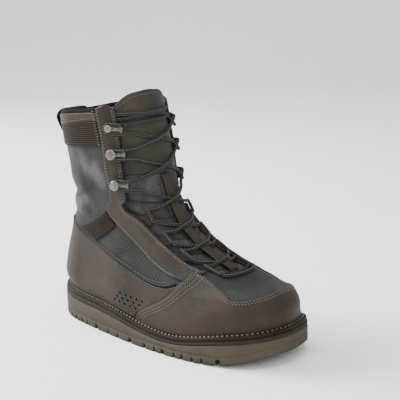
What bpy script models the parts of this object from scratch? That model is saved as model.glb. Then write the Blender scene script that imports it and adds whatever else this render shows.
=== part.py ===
"""Wading boot, right foot, built as a maker would put it together.

The boot is drawn with the heel end of its outsole at x = 0, the toe along +X, the wearer's
right (the outer side) along -Y and the ground at z = 0. Every size is in metres. An empty
then moves the whole boot so that the middle of its footprint is the origin.

The upper is one smooth skin. A place on it has a level t, 0 where the upper meets the welt and
1 at the collar, and a share q of the way round: 0 at the front, 0.25 at the outer side, 0.5 at
the heel and 0.75 at the inner side. Panels, hooks, loops and lace are all placed that way.
"""

import math

import bmesh
import bpy
import numpy as np
from mathutils import Matrix, Vector

# Driving sizes of the sole
LENGTH = 0.318  # outsole, heel to toe
BALL_WIDTH = 0.114  # outsole, across the ball
HEEL_RUBBER = 0.0240  # outsole thickness at the heel, lugs included
BALL_RUBBER = 0.0130
TOE_RUBBER = 0.0152
TOE_SPRING = 0.0135  # how far the tip of the toe stands off the ground
HEEL_SPRING = 0.0035  # the small bevel at the back of the heel
LUG_DEPTH = 0.0050
EDGE_LUG = 0.0150  # length of the lugs along the edge, measured inwards
NOTCH = 0.0030  # gap between two edge lugs
LUG_PITCH = 0.0155
STUD_RADIUS = 0.0048
STUD_PITCH = 0.0195
PARTING_HEIGHT = 0.0085  # moulding line of the sidewall, above the tread
PARTING_WIDTH = 0.0012
PARTING_DEPTH = 0.0008
HEEL_MIDSOLE = 0.0047
BALL_MIDSOLE = 0.0022
TOE_MIDSOLE = 0.0038
WELT_THICK = 0.0040
WELT_INSET = 0.0012  # edge of the welt, inside the edge of the outsole
WELT_SHELF = 0.0062  # bare strip of the welt outside the upper
INSOLE_RISE = 0.0025  # top of the insole above the welt
INSOLE_STEP = 0.0028  # the raised part of the insole stands this far in from its edge

# Driving sizes of the upper
UPPER_HEIGHT = 0.193  # from the welt to the collar, at the back
WALL = 0.0030  # leather, membrane and lining together
GAP = 0.0003  # running gap between two pieces that touch
SEAM = 0.0008  # gap between the edges of two neighbouring panels
OVERLAY = 0.0014  # thickness of a leather overlay
TONGUE_THICK = 0.0050
TONGUE_OVERLAP = 0.0090  # how far the tongue goes under each edge of the throat
TONGUE_FOOT_HALF = 0.022  # half width of the tongue at its foot, overlap left out

# Driving sizes of the fittings
LACE_RADIUS = 0.0014
HOOK_LENGTH = 0.0165
HOOK_HEAD = 0.0046  # radius of a hook's round head
HOOK_NECK = 0.0022  # half width of its plate and radius of its post
HOOK_THICK = 0.0014
LOOP_WIDTH = 0.0095
LOOP_REACH = 0.0105  # how far a webbing loop reaches over the tongue
LOOP_THICK = 0.0022
KEEPER_WIDTH = 0.0100
KEEPER_LENGTH = 0.0150
KEEPER_THICK = 0.0014
PULL_WIDTH = 0.0200
PULL_THICK = 0.0018
PULL_DROP = 0.0240  # how far the pull loop comes down outside the collar
PULL_BULGE = 0.0050
TAB_WIDTH = 0.0090
TAB_HEIGHT = 0.0110
TAB_REACH = 0.0035

# Outline of the outsole, from the heel along the outer side to the toe and back along the
# inner side: share of LENGTH, share of BALL_WIDTH
SOLE_EDGE = (
    (0.000, 0.000), (0.035, -0.175), (0.130, -0.333), (0.280, -0.424), (0.450, -0.497),
    (0.600, -0.532), (0.720, -0.530), (0.850, -0.472), (0.945, -0.326), (0.990, -0.122),
    (1.000, 0.070), (0.965, 0.375), (0.875, 0.484), (0.750, 0.472), (0.600, 0.375),
    (0.450, 0.330), (0.280, 0.352), (0.130, 0.336), (0.035, 0.195),
)

# Levels of the upper above the welt, one row each. Lengths are shares of LENGTH, heights are
# shares of UPPER_HEIGHT above the heel's seat and widths are shares of BALL_WIDTH.
LEVEL_COLUMNS = (
    "back_x", "back_z", "front_x", "front_z", "ridge_y",
    "heel_out", "heel_in", "waist_out", "waist_in", "ball_out", "ball_in",
    "round_back", "round_front", "dip",
)
LEVELS = (
    (0.024, 0.084, 0.987, 0.100, 0.053, 0.289, 0.298, 0.421, 0.298, 0.482, 0.412, 0.13, 0.25, 0.80),
    (0.031, 0.167, 0.969, 0.167, 0.053, 0.285, 0.298, 0.395, 0.307, 0.447, 0.404, 0.14, 0.27, 0.50),
    (0.046, 0.256, 0.890, 0.214, 0.035, 0.276, 0.289, 0.360, 0.316, 0.404, 0.377, 0.15, 0.30, 0.25),
    (0.061, 0.333, 0.783, 0.269, 0.000, 0.268, 0.281, 0.333, 0.325, 0.360, 0.351, 0.17, 0.28, 0.10),
    (0.074, 0.406, 0.692, 0.334, -0.035, 0.268, 0.272, 0.325, 0.325, 0.325, 0.333, 0.19, 0.26, 0.0),
    (0.085, 0.478, 0.616, 0.416, -0.044, 0.281, 0.281, 0.325, 0.325, 0.316, 0.333, 0.22, 0.27, 0.0),
    (0.097, 0.551, 0.560, 0.509, -0.035, 0.307, 0.307, 0.342, 0.342, 0.333, 0.333, 0.26, 0.29, 0.0),
    (0.094, 0.634, 0.522, 0.613, -0.018, 0.333, 0.333, 0.368, 0.360, 0.360, 0.351, 0.31, 0.32, 0.0),
    (0.085, 0.738, 0.491, 0.758, -0.009, 0.360, 0.360, 0.386, 0.386, 0.386, 0.377, 0.34, 0.34, 0.0),
    (0.077, 0.862, 0.465, 0.919, 0.000, 0.386, 0.377, 0.404, 0.395, 0.395, 0.395, 0.35, 0.36, 0.0),
    (0.069, 1.000, 0.437, 1.126, 0.000, 0.404, 0.395, 0.412, 0.404, 0.412, 0.404, 0.36, 0.37, 0.0),
    (0.066, 1.105, 0.418, 1.246, 0.000, 0.412, 0.404, 0.421, 0.412, 0.421, 0.412, 0.36, 0.37, 0.0),
)
COLLAR_LEVEL = 11  # the row of LEVELS, counted from 1, that is the collar
WIDTH_PLACES = (0.14, 0.42, 0.70)  # where heel, waist and ball widths hold, as shares

# Half width of the throat by level, as shares of BALL_WIDTH
THROAT = (
    (0.350, 0.200), (0.356, 0.270), (0.370, 0.325), (0.405, 0.355),
    (0.460, 0.355), (0.520, 0.365), (0.575, 0.380), (0.625, 0.440), (0.652, 0.535),
    (0.675, 0.540), (0.700, 0.470), (0.760, 0.430), (0.850, 0.405), (0.920, 0.382),
    (1.100, 0.370),
)
COLLAR_DIP = 0.016  # how much lower the collar is beside the throat, in levels

# Levels and number of columns of the faceted skin
SKIN_LEVELS = (
    0.0, 0.05, 0.11, 0.18, 0.25, 0.32, 0.39, 0.46, 0.53, 0.60, 0.67, 0.75, 0.83, 0.91, 1.0,
)
TONGUE_LEVEL = 1.05  # one more level, above the collar, for the tongue
SKIN_COLUMNS = 28
EVEN_SHARES = np.linspace(0, 1, SKIN_COLUMNS + 1)
SKIN_SHARES = EVEN_SHARES - 0.025 * np.sin(4 * math.pi * EVEN_SHARES)  # closer at toe and heel

# Panel edges on the outer side as (level, share round). The inner side has the same, mirrored.
RAND_TOP = (
    (0.200, 0.000), (0.188, 0.012), (0.170, 0.034), (0.160, 0.060), (0.156, 0.078),
    (0.170, 0.088), (0.240, 0.090), (0.292, 0.093), (0.316, 0.104), (0.325, 0.118),
    (0.268, 0.152), (0.221, 0.177), (0.159, 0.209), (0.093, 0.243), (0.049, 0.260),
    (-0.02, 0.268),
)
COUNTER_TOP = (
    (0.250, 0.170), (0.228, 0.186), (0.220, 0.207), (0.227, 0.240), (0.250, 0.275),
    (0.284, 0.307), (0.322, 0.336), (0.355, 0.364), (0.400, 0.405), (0.440, 0.454),
    (0.455, 0.500),
)
EYESTAY_FOOT = ((0.292, 0.078), (0.325, 0.118))  # front and middle of its lower end
EYESTAY_REAR = (
    (0.262, 0.182), (0.336, 0.213), (0.432, 0.233), (0.503, 0.250), (0.588, 0.262),
    (0.640, 0.254), (0.680, 0.236), (0.708, 0.220), (0.755, 0.208), (0.831, 0.197),
    (0.894, 0.183), (0.951, 0.180), (1.020, 0.178),
)
ANKLE_RIB = ((0.440, 0.390), (0.604, 0.268), (0.520, 0.261), (0.374, 0.354))
CUFF_LEVELS = (0.898, 0.968)
BINDING_LEVELS = (0.975, 1.02)

# Fittings on the outer side. The inner side has the same, mirrored.
HOOK_LEVELS = (0.767, 0.870, 0.950)
LOOP_LEVELS = (0.382, 0.432, 0.502, 0.596)
KEEPER_CROSSINGS = (1, 2, 3)  # the lace's crossings, counted from the foot, that a keeper covers
TONGUE_FOOT = 0.300  # the level where the tongue is sewn in
TONGUE_TOP = ((0.0, 1.034), (0.5, 1.022), (0.85, 0.996), (1.0, 0.972))  # share of half width


def curve(xs, ys, at):
    """A smooth line through the points that never overshoots them (monotone cubic)."""
    xs, ys, at = (np.asarray(v, float) for v in (xs, ys, at))
    wide = (slice(None),) + (None,) * (ys.ndim - 1)
    step = np.diff(xs)[wide]
    slope = np.diff(ys, axis=0) / step
    after, before = 2 * step[1:] + step[:-1], step[1:] + 2 * step[:-1]
    steady = slope[:-1] * slope[1:] > 0
    one, two = (np.where(steady, s, 1.0) for s in (slope[:-1], slope[1:]))
    tangent = np.zeros_like(ys)
    tangent[1:-1] = np.where(steady, (after + before) / (after / one + before / two), 0.0)
    tangent[0], tangent[-1] = slope[0], slope[-1]
    flat = at.ravel()
    i = np.clip(np.searchsorted(xs, flat, side="right") - 1, 0, len(xs) - 2)
    u = ((flat - xs[i]) / (xs[i + 1] - xs[i]))[wide]
    found = (
        (2 * u**3 - 3 * u**2 + 1) * ys[i]
        + (u**3 - 2 * u**2 + u) * step[i] * tangent[i]
        + (-2 * u**3 + 3 * u**2) * ys[i + 1]
        + (u**3 - u**2) * step[i] * tangent[i + 1]
    )
    return found.reshape(at.shape + ys.shape[1:])


def round_outline(points, per_span):
    """A closed round line through the points (Catmull-Rom)."""
    p = np.asarray(points, float)
    a, b, c, d = (np.roll(p, k, axis=0)[:, None] for k in (1, 0, -1, -2))
    u = (np.arange(per_span) / per_span)[None, :, None]
    line = 2 * b + (c - a) * u + (2 * a - 5 * b + 4 * c - d) * u**2
    return (0.5 * (line + (3 * b - a - 3 * c + d) * u**3)).reshape(-1, 2)


EDGE = round_outline(SOLE_EDGE, 12) * (LENGTH, BALL_WIDTH)


def inset(amount):
    """The outsole's outline moved inwards."""
    along = np.roll(EDGE, -1, axis=0) - np.roll(EDGE, 1, axis=0)
    along /= np.linalg.norm(along, axis=1)[:, None]
    return EDGE + np.stack([-along[:, 1], along[:, 0]], 1) * amount


def sides(line):
    """The outer and the inner half of a closed outline, both from heel to toe."""
    loop = np.roll(line, -line[:, 0].argmin(), axis=0)
    toe = loop[:, 0].argmax()
    return loop[: toe + 1], np.vstack([loop[toe:], loop[:1]])[::-1]


def ground(x):
    """Underside of the outsole: flat, with the toe and the back of the heel off the ground."""
    share = np.clip(np.asarray(x, float) / LENGTH, 0, 1)
    lift = (HEEL_SPRING, 0, 0, 0.24 * TOE_SPRING, TOE_SPRING)
    return curve((0, 0.05, 0.72, 0.86, 1.0), lift, share)


def along_sole(x, heel, ball, toe):
    """A height that goes from the heel down to the ball and up again to the toe."""
    share = np.asarray(x, float) / LENGTH
    heights = (heel, 0.9 * heel + 0.1 * ball, ball, 0.35 * ball + 0.65 * toe, toe)
    near = [curve((0, 0.3, 0.65, 0.85, 1.0), heights, share + k) for k in (-0.07, -0.035, 0, 0.035, 0.07)]
    return np.mean(near, axis=0)


def rubber_top(x):
    return along_sole(x, HEEL_RUBBER, BALL_RUBBER, TOE_SPRING + TOE_RUBBER)


def midsole_top(x):
    return rubber_top(x) + GAP + along_sole(x, HEEL_MIDSOLE, BALL_MIDSOLE, TOE_MIDSOLE)


def welt_top(x):
    return midsole_top(x) + GAP + WELT_THICK


def seat(x):
    """Where the upper stands on the welt."""
    return welt_top(x) + GAP


# The skin of the upper

HALF = 180  # steps of the skin's fine grid along each half of a level


def even_steps(points, count):
    """Points at equal steps along an open line."""
    run = np.r_[0, np.cumsum(np.linalg.norm(np.diff(points, axis=0), axis=1))]
    at = np.linspace(0, run[-1], count)
    return np.stack([np.interp(at, run, points[:, k]) for k in range(points.shape[1])], 1)


def close_level(outer, inner):
    """One loop of the skin from two halves that run from heel to toe."""
    return np.vstack([even_steps(outer[::-1], HALF + 1), even_steps(inner, HALF + 1)[1:]])


def welt_level():
    """The loop where the upper meets the welt, inside the outsole's outline."""
    halves = sides(inset(WELT_INSET + WELT_SHELF))
    return close_level(*(np.column_stack([h, seat(h[:, 0])]) for h in halves))


def half_width(share, heel, waist, ball, round_back, round_front):
    """Half width along a level: three widths blended, closed by a round back and front."""
    place = np.clip(np.interp(share, WIDTH_PLACES, (0, 1, 2)), 0, 1.999)
    whole = place.astype(int)
    blend = place - whole
    blend = blend**2 * (3 - 2 * blend)
    widths = np.array((heel, waist, ball))
    middle = widths[whole] * (1 - blend) + widths[whole + 1] * blend
    back = np.clip(1 - share / round_back, 0, 1)
    front = np.clip(1 - (1 - share) / round_front, 0, 1)
    return middle * np.sqrt(1 - back**2) * (1 - front**2.3) ** (1 / 2.15)


def upper_level(row):
    """One loop of the skin from a row of LEVELS."""
    v = dict(zip(LEVEL_COLUMNS, row))
    share = (1 - np.cos(np.linspace(0, math.pi, 240))) / 2
    x = LENGTH * (v["back_x"] + (v["front_x"] - v["back_x"]) * share)
    ends = UPPER_HEIGHT * np.array((v["back_z"], v["front_z"]))
    chord = seat(0.0) + ends[0] + (ends[1] - ends[0]) * share
    low_back, low_front = seat(0.02 * LENGTH), seat(0.98 * LENGTH)
    sag = seat(x) - (low_back + (low_front - low_back) * share)
    z = chord + v["dip"] * sag
    ridge = BALL_WIDTH * v["ridge_y"] * share**2
    halves = []
    for side, sign in (("out", -1), ("in", 1)):
        widths = [v[f"{place}_{side}"] for place in ("heel", "waist", "ball")]
        width = BALL_WIDTH * half_width(share, *widths, v["round_back"], v["round_front"])
        halves.append(np.column_stack([x, ridge + sign * width, z]))
    return close_level(*halves)


FINE_ROWS = 240
ROW_LEVELS = np.arange(len(LEVELS) + 1) / COLLAR_LEVEL
TOP_LEVEL = ROW_LEVELS[-1]
FINE = curve(
    ROW_LEVELS,
    np.array([welt_level()] + [upper_level(row) for row in LEVELS]),
    np.linspace(0, TOP_LEVEL, FINE_ROWS + 1),
)
FINE_STEPS = np.linalg.norm(np.diff(FINE, axis=1), axis=2)
OUTER_RUN = FINE_STEPS[:, :HALF].sum(axis=1)
INNER_RUN = FINE_STEPS[:, HALF:].sum(axis=1)


def surface(t, q):
    """Points on the skin, read from the fine grid. The collar dips beside the throat."""
    t, q = np.broadcast_arrays(np.asarray(t, float), np.asarray(q, float))
    round_ = np.abs((q + 0.5) % 1.0 - 0.5)
    beside = np.clip(1 - (round_ - 0.11) / 0.10, 0, 1)
    t = t - COLLAR_DIP * beside * np.clip((t - 0.85) / 0.1, 0, 1)
    row = np.clip(t, 0, TOP_LEVEL - 1e-6) * FINE_ROWS / TOP_LEVEL
    column = (np.asarray(q, float) % 1.0) * 2 * HALF
    row, column = np.broadcast_arrays(row, column)
    i, j = row.astype(int), np.minimum(column.astype(int), 2 * HALF - 1)
    u, v = (row - i)[..., None], (column - j)[..., None]
    low = FINE[i, j] * (1 - v) + FINE[i, j + 1] * v
    high = FINE[i + 1, j] * (1 - v) + FINE[i + 1, j + 1] * v
    return low * (1 - u) + high * u


def outward(t, q):
    """Unit normals of the skin."""
    step = 0.006
    t, q = np.broadcast_arrays(np.asarray(t, float), np.asarray(q, float))
    up = surface(t + step, q) - surface(t - step, q)
    round_ = surface(t, q + step) - surface(t, q - step)
    normal = np.cross(up, round_)
    return normal / np.linalg.norm(normal, axis=-1)[..., None]


def skin(t, q, lift):
    """Points at a height above the skin. Below level 0 they go straight down."""
    t, q = np.broadcast_arrays(np.asarray(t, float), np.asarray(q, float))
    normal = outward(np.maximum(t, 0), q)
    level = np.clip(t / 0.035, 0, 1)[..., None]
    flat = normal * (1, 1, 0)
    flat /= np.linalg.norm(flat, axis=-1)[..., None]
    normal = normal * level + flat * (1 - level)
    points = surface(t, q) + normal * np.asarray(lift)[..., None]
    points[..., 2] += np.minimum(t, 0) * UPPER_HEIGHT
    return points


def share_at(t, run):
    """Share round at a distance from the front, outwards positive, inwards negative."""
    t, run = np.broadcast_arrays(np.asarray(t, float), np.asarray(run, float))
    row = np.clip(t, 0, TOP_LEVEL) * FINE_ROWS / TOP_LEVEL
    half = np.where(run >= 0, np.interp(row, np.arange(FINE_ROWS + 1), OUTER_RUN),
                    np.interp(row, np.arange(FINE_ROWS + 1), INNER_RUN))
    return 0.5 * run / half


def throat_half(t):
    """Half width of the throat at a level, in metres."""
    levels, widths = np.array(THROAT).T
    return BALL_WIDTH * np.interp(t, levels, widths, left=0.0)


# Mesh building

def new_material(name, colour, roughness, metallic=0.0):
    material = bpy.data.materials.new(name)
    material.use_nodes = True
    shader = material.node_tree.nodes["Principled BSDF"]
    shader.inputs["Base Color"].default_value = (*colour, 1.0)
    shader.inputs["Roughness"].default_value = roughness
    shader.inputs["Metallic"].default_value = metallic
    material.diffuse_color = (*colour, 1.0)
    return material


def new_object(name, points, faces, material=None):
    """An object with closed outward faces in the scene."""
    mesh = bpy.data.meshes.new(name)
    mesh.from_pydata([tuple(p) for p in np.asarray(points).reshape(-1, 3)], [], faces)
    work = bmesh.new()
    work.from_mesh(mesh)
    bmesh.ops.recalc_face_normals(work, faces=work.faces)
    work.to_mesh(mesh)
    work.free()
    if material is not None:
        mesh.materials.append(material)
    found = bpy.data.objects.new(name, mesh)
    bpy.context.scene.collection.objects.link(found)
    return found


def combine(target, tool, operation, material):
    """Cut or join one object with another, keep the result and drop the tool."""
    modifier = target.modifiers.new("cut", "BOOLEAN")
    modifier.operation = operation
    modifier.solver = "EXACT"
    modifier.object = tool
    scene_state = bpy.context.evaluated_depsgraph_get()
    mesh = bpy.data.meshes.new_from_object(target.evaluated_get(scene_state))
    target.modifiers.clear()
    target.data = mesh
    mesh.name = target.name
    mesh.materials.clear()
    mesh.materials.append(material)
    bpy.data.objects.remove(tool)
    return target


def join_parts(name, parts, material=None):
    """Several point and face lists as one mesh."""
    points, faces = [], []
    for part_points, part_faces in parts:
        start = len(points)
        points.extend(np.asarray(part_points).reshape(-1, 3))
        faces.extend(tuple(k + start for k in face) for face in part_faces)
    return new_object(name, points, faces, material)


def grid_faces(rows, columns, start=0, flip=False):
    """Two triangles for each cell of a grid of points, always with the same diagonal."""
    faces = []
    for i in range(rows - 1):
        for j in range(columns - 1):
            a = start + i * columns + j
            b, c, d = a + 1, a + columns + 1, a + columns
            pair = [(a, b, c), (a, c, d)]
            faces.extend(f[::-1] for f in pair) if flip else faces.extend(pair)
    return faces


def slab(low, high):
    """A closed slab between two grids of points of one size."""
    rows, columns = low.shape[:2]
    count = rows * columns
    faces = grid_faces(rows, columns) + grid_faces(rows, columns, count, flip=True)
    rim = [(0, j) for j in range(columns)] + [(i, columns - 1) for i in range(1, rows)]
    rim += [(rows - 1, j) for j in range(columns - 2, -1, -1)] + [(i, 0) for i in range(rows - 2, 0, -1)]
    ids = [i * columns + j for i, j in rim]
    for a, b in zip(ids, ids[1:] + ids[:1]):
        faces.append((b, a, a + count, b + count))
    return np.vstack([low.reshape(-1, 3), high.reshape(-1, 3)]), faces


def tube(line, radius, sides_):
    """A closed round tube along a line of points."""
    line = np.asarray(line, float)
    along = np.gradient(line, axis=0)
    along /= np.linalg.norm(along, axis=1)[:, None]
    across = Vector(along[0]).orthogonal().normalized()
    rings = []
    for point, direction in zip(line, along):
        direction = Vector(direction)
        across = (across - direction * across.dot(direction)).normalized()
        other = direction.cross(across)
        turns = np.linspace(0, 2 * math.pi, sides_, endpoint=False)
        rings.append([Vector(point) + (across * math.cos(a) + other * math.sin(a)) * radius for a in turns])
    count = len(rings)
    faces = [tuple(range(sides_))[::-1], tuple(range((count - 1) * sides_, count * sides_))]
    for i in range(count - 1):
        for j in range(sides_):
            k = (j + 1) % sides_
            faces.append((i * sides_ + j, i * sides_ + k, (i + 1) * sides_ + k, (i + 1) * sides_ + j))
    return np.array(rings).reshape(-1, 3), faces


# The sole

END_SHARE = 0.09  # part of the length at each end where the rings have places of their own
END_STATIONS = 4
MIDDLE_STATIONS = 14
STATIONS = 2 * END_STATIONS + MIDDLE_STATIONS
STUD_SIDES = 6


def stations(first, last):
    """Places along the sole, closer together at its ends. Those between are shared by all rings."""
    near = END_SHARE * LENGTH
    bend = 1 - np.cos(np.linspace(0, math.pi / 2, END_STATIONS + 1))
    heel = first + (near - first) * bend
    toe = last - (last - (LENGTH - near)) * bend
    return np.r_[heel, np.linspace(near, LENGTH - near, MIDDLE_STATIONS + 1)[1:-1], toe[::-1]]


def sole_ring(amount, height):
    """Points round an outline inset by an amount, at a height that depends on x."""
    outer, inner = sides(inset(amount))
    ring = []
    for half in (outer, inner):
        x = stations(half[0, 0], half[-1, 0])
        ring.append(np.column_stack([x, np.interp(x, half[:, 0], half[:, 1])]))
    ring = np.vstack([ring[0], ring[1][-2:0:-1]])
    return np.column_stack([ring, height(ring[:, 0])])


def cap_faces(start, flip):
    """A cap of strips across a sole ring."""
    count = 2 * STATIONS
    faces = []
    for i in range(STATIONS):
        a, b = i, i + 1
        c, d = (count - i - 1) % count, (count - i) % count
        face = [start + k for k in (a, b, c, d)]
        face = [k for n, k in enumerate(face) if k not in face[:n]]
        faces.append(tuple(face[::-1] if flip else face))
    return faces


def sole_body(rings):
    """A closed body through a stack of sole rings."""
    count = 2 * STATIONS
    faces = cap_faces(0, True) + cap_faces((len(rings) - 1) * count, False)
    for i in range(len(rings) - 1):
        for j in range(count):
            k = (j + 1) % count
            faces.append((i * count + j, i * count + k, (i + 1) * count + k, (i + 1) * count + j))
    return np.vstack(rings), faces


def lug_notches():
    """Boxes that part the lugs along both edges."""
    parts = []
    for half, turn in zip(sides(EDGE), (1, -1)):
        run = np.r_[0, np.cumsum(np.linalg.norm(np.diff(half, axis=0), axis=1))]
        first, last = np.interp((0.075 * LENGTH, 0.86 * LENGTH), half[:, 0], run)
        for at in np.arange(first, last, LUG_PITCH):
            x, y = (np.interp(at, run, half[:, k]) for k in (0, 1))
            ahead = np.array([np.interp(at + 0.002, run, half[:, k]) for k in (0, 1)]) - (x, y)
            along = Vector((*ahead, 0)).normalized()
            inwards = Vector((-along.y, along.x, 0)) * turn
            base = Vector((x, y, float(ground(x))))
            corners = []
            for height in (-LUG_DEPTH, LUG_DEPTH):
                for back, side in ((-0.3, -1), (1.25, -1), (1.25, 1), (-0.3, 1)):
                    reach = inwards * (back * EDGE_LUG)
                    corners.append(base + reach + along * (side * NOTCH / 2) + Vector((0, 0, height)))
            box = [(0, 3, 2, 1), (4, 5, 6, 7), (0, 1, 5, 4), (1, 2, 6, 5), (2, 3, 7, 6), (3, 0, 4, 7)]
            parts.append((np.array(corners), box))
    return parts


def stud_places():
    """Places of the round studs, in staggered rows between the edge lugs."""
    outer, inner = sides(inset(EDGE_LUG))
    places = []
    rows = np.arange(0.16 * LENGTH, 0.84 * LENGTH, STUD_PITCH)
    for n, x in enumerate(rows):
        low = np.interp(x, outer[:, 0], outer[:, 1]) + 1.5 * STUD_RADIUS
        high = np.interp(x, inner[:, 0], inner[:, 1]) - 1.5 * STUD_RADIUS
        count = max(2, int((high - low) / STUD_PITCH) + (n + 1) % 2)
        places.extend((x, y) for y in np.linspace(low, high, count))
    return places


def stud(x, y):
    """A round stud from the tread up into the sole."""
    turns = np.linspace(0, 2 * math.pi, STUD_SIDES, endpoint=False)
    rings = []
    for height, radius in ((0.0, STUD_RADIUS), (LUG_DEPTH + 0.001, STUD_RADIUS + 0.0008)):
        z = float(ground(x)) + height
        rings += [(x + radius * math.cos(a), y + radius * math.sin(a), z) for a in turns]
    n = STUD_SIDES
    faces = [tuple(range(n))[::-1], tuple(range(n, 2 * n))]
    faces += [(j, (j + 1) % n, (j + 1) % n + n, j + n) for j in range(n)]
    return np.array(rings), faces


def build_outsole(material):
    """Rubber cup: sidewall with a moulding line, edge lugs, studs, plain heel and toe plates."""
    def above_tread(height):
        return lambda x: ground(x) + height

    low, high = PARTING_HEIGHT - PARTING_WIDTH / 2, PARTING_HEIGHT + PARTING_WIDTH / 2
    rings = [
        sole_ring(0.0006, ground),
        sole_ring(0.0, above_tread(low)),
        sole_ring(PARTING_DEPTH, above_tread(PARTING_HEIGHT)),
        sole_ring(0.0, above_tread(high)),
        sole_ring(0.0, lambda x: rubber_top(x) - 0.0008),
        sole_ring(0.0008, rubber_top),
    ]
    outsole = new_object("outsole", *sole_body(rings), material)
    well = inset(EDGE_LUG)
    well = well[(well[:, 0] > 0.125 * LENGTH) & (well[:, 0] < 0.855 * LENGTH)][::6]
    count = len(well)
    floor = np.column_stack([well, ground(well[:, 0]) - LUG_DEPTH])
    roof = np.column_stack([well, ground(well[:, 0]) + LUG_DEPTH])
    faces = [tuple(range(count))[::-1], tuple(range(count, 2 * count))]
    faces += [(j, (j + 1) % count, (j + 1) % count + count, j + count) for j in range(count)]
    combine(outsole, new_object("well", np.vstack([floor, roof]), faces), "DIFFERENCE", material)
    combine(outsole, join_parts("notches", lug_notches()), "DIFFERENCE", material)
    combine(outsole, join_parts("studs", [stud(x, y) for x, y in stud_places()]), "UNION", material)
    return outsole


def build_midsole(material):
    rings = [
        sole_ring(0.0006, lambda x: rubber_top(x) + GAP),
        sole_ring(0.0006, midsole_top),
    ]
    return new_object("midsole", *sole_body(rings), material)


def build_welt(material):
    """The stitched ring that the upper stands on."""
    inner_edge = WELT_INSET + WELT_SHELF + WALL + GAP
    rings = [
        sole_ring(WELT_INSET, lambda x: midsole_top(x) + GAP),
        sole_ring(WELT_INSET, lambda x: welt_top(x) - 0.0006),
        sole_ring(WELT_INSET + 0.0006, welt_top),
        sole_ring(inner_edge, welt_top),
        sole_ring(inner_edge, lambda x: midsole_top(x) + GAP),
    ]
    count = 2 * STATIONS
    faces = []
    for i in range(len(rings)):
        n = (i + 1) % len(rings)
        for j in range(count):
            k = (j + 1) % count
            faces.append((i * count + j, i * count + k, n * count + k, n * count + j))
    return new_object("welt", np.vstack(rings), faces, material)


def build_insole(material):
    """The board inside the welt, which closes the bottom of the upper."""
    edge = WELT_INSET + WELT_SHELF + WALL + 2 * GAP
    rings = [
        sole_ring(edge, lambda x: midsole_top(x) + GAP),
        sole_ring(edge, lambda x: welt_top(x) - GAP),
        sole_ring(edge + INSOLE_STEP, welt_top),
        sole_ring(edge + INSOLE_STEP, lambda x: welt_top(x) + INSOLE_RISE),
    ]
    return new_object("insole", *sole_body(rings), material)


# The upper and its panels

def shell(name, low, high, material=None, levels=SKIN_LEVELS):
    """The whole skin as a hollow faceted wall between two heights, open above and below."""
    t, q = np.array(levels)[:, None], SKIN_SHARES[None, :-1]
    rows, columns, layer = len(levels), SKIN_COLUMNS, len(levels) * SKIN_COLUMNS
    faces = []
    for j in range(columns):
        k = (j + 1) % columns
        for i in range(rows - 1):
            a, b, c, d = (i * columns + j, i * columns + k, (i + 1) * columns + k, (i + 1) * columns + j)
            faces += [(a, b, c), (a, c, d)]
            faces += [(c + layer, b + layer, a + layer), (d + layer, c + layer, a + layer)]
        for a, b in ((j, k), (layer - columns + k, layer - columns + j)):
            faces += [(b, a, a + layer), (b, a + layer, b + layer)]
    points = np.vstack([skin(t, q, low).reshape(-1, 3), skin(t, q, high).reshape(-1, 3)])
    return new_object(name, points, faces, material)


def on_facets(t, q, lift):
    """Points at a height above the skin, on the same flat facets that shell makes."""
    t, q, lift = np.broadcast_arrays(np.asarray(t, float), np.asarray(q, float) % 1.0, np.asarray(lift, float))
    levels = np.array(SKIN_LEVELS + (TONGUE_LEVEL,))
    row = np.interp(t, levels, np.arange(len(levels)))
    column = np.interp(q, SKIN_SHARES, np.arange(SKIN_COLUMNS + 1))
    i = np.minimum(row.astype(int), len(levels) - 2)
    j = np.minimum(column.astype(int), SKIN_COLUMNS - 1)
    up, on = (row - i)[..., None], (column - j)[..., None]
    a, b, c, d = (skin(levels[i + m], SKIN_SHARES[j + n], lift) for m, n in ((0, 0), (0, 1), (1, 1), (1, 0)))
    lower = a + on * (b - a) + up * (c - b)
    upper = a + up * (d - a) + on * (c - d)
    return np.where(up <= on, lower, upper)


def throat_edge(first, last, sign, inwards=0.0):
    """One edge of the throat as (level, share) points, the outer edge with sign 1."""
    levels = [t for t, _ in THROAT if first < t < last]
    levels = np.array([first] + levels + [last])
    return np.column_stack([levels, share_at(levels, sign * (throat_half(levels) - inwards))])


def build_upper(material):
    """The wall of the boot, with the throat cut out of it."""
    upper = shell("upper", -WALL, 0.0, material)
    edges = [throat_edge(THROAT[0][0], TOP_LEVEL - 0.01, sign) for sign in (1, -1)]
    lines = [edges[0], (edges[0] + edges[1]) / 2, edges[1]]
    throat = new_object("throat", *patch(lines, -4 * WALL, 4 * WALL, 3))
    return combine(upper, throat, "DIFFERENCE", material)


def resample(line, count):
    """An edge given as (level, share) points, with a fixed number of even steps."""
    line = np.array(line, float)
    scaled = np.column_stack([line[:, 0] * UPPER_HEIGHT, line[:, 1] * 4 * BALL_WIDTH])
    run = np.r_[0, np.cumsum(np.linalg.norm(np.diff(scaled, axis=0), axis=1))]
    at = np.linspace(0, run[-1], count)
    return np.column_stack([np.interp(at, run, line[:, k]) for k in (0, 1)])


def swept(lines, across):
    """Levels and shares of a region of the skin, swept between edges of equal length."""
    lines = np.array(lines, float)
    spans = len(lines) - 1
    at = np.linspace(0, spans, across * spans + 1)
    first = np.minimum(at.astype(int), spans - 1)
    blend = (at - first)[:, None, None]
    region = lines[first] * (1 - blend) + lines[first + 1] * blend
    return region[..., 0], region[..., 1]


def patch(lines, low, high, across):
    """A slab over a region of the skin."""
    t, q = swept(lines, across)
    return slab(skin(t, q, low), skin(t, q, high))


def mirrored(line):
    """The same edge on the inner side."""
    return [(t, 1 - q) for t, q in line]


def panel(name, lines, material, across=6, thick=OVERLAY):
    """A leather panel: the part of an outer layer of the skin that a region cuts out."""
    layer = shell(name, GAP, GAP + thick)
    region = new_object("region", *patch(lines, -0.0025, 0.0060, across))
    return combine(layer, region, "INTERSECT", material)


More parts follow.
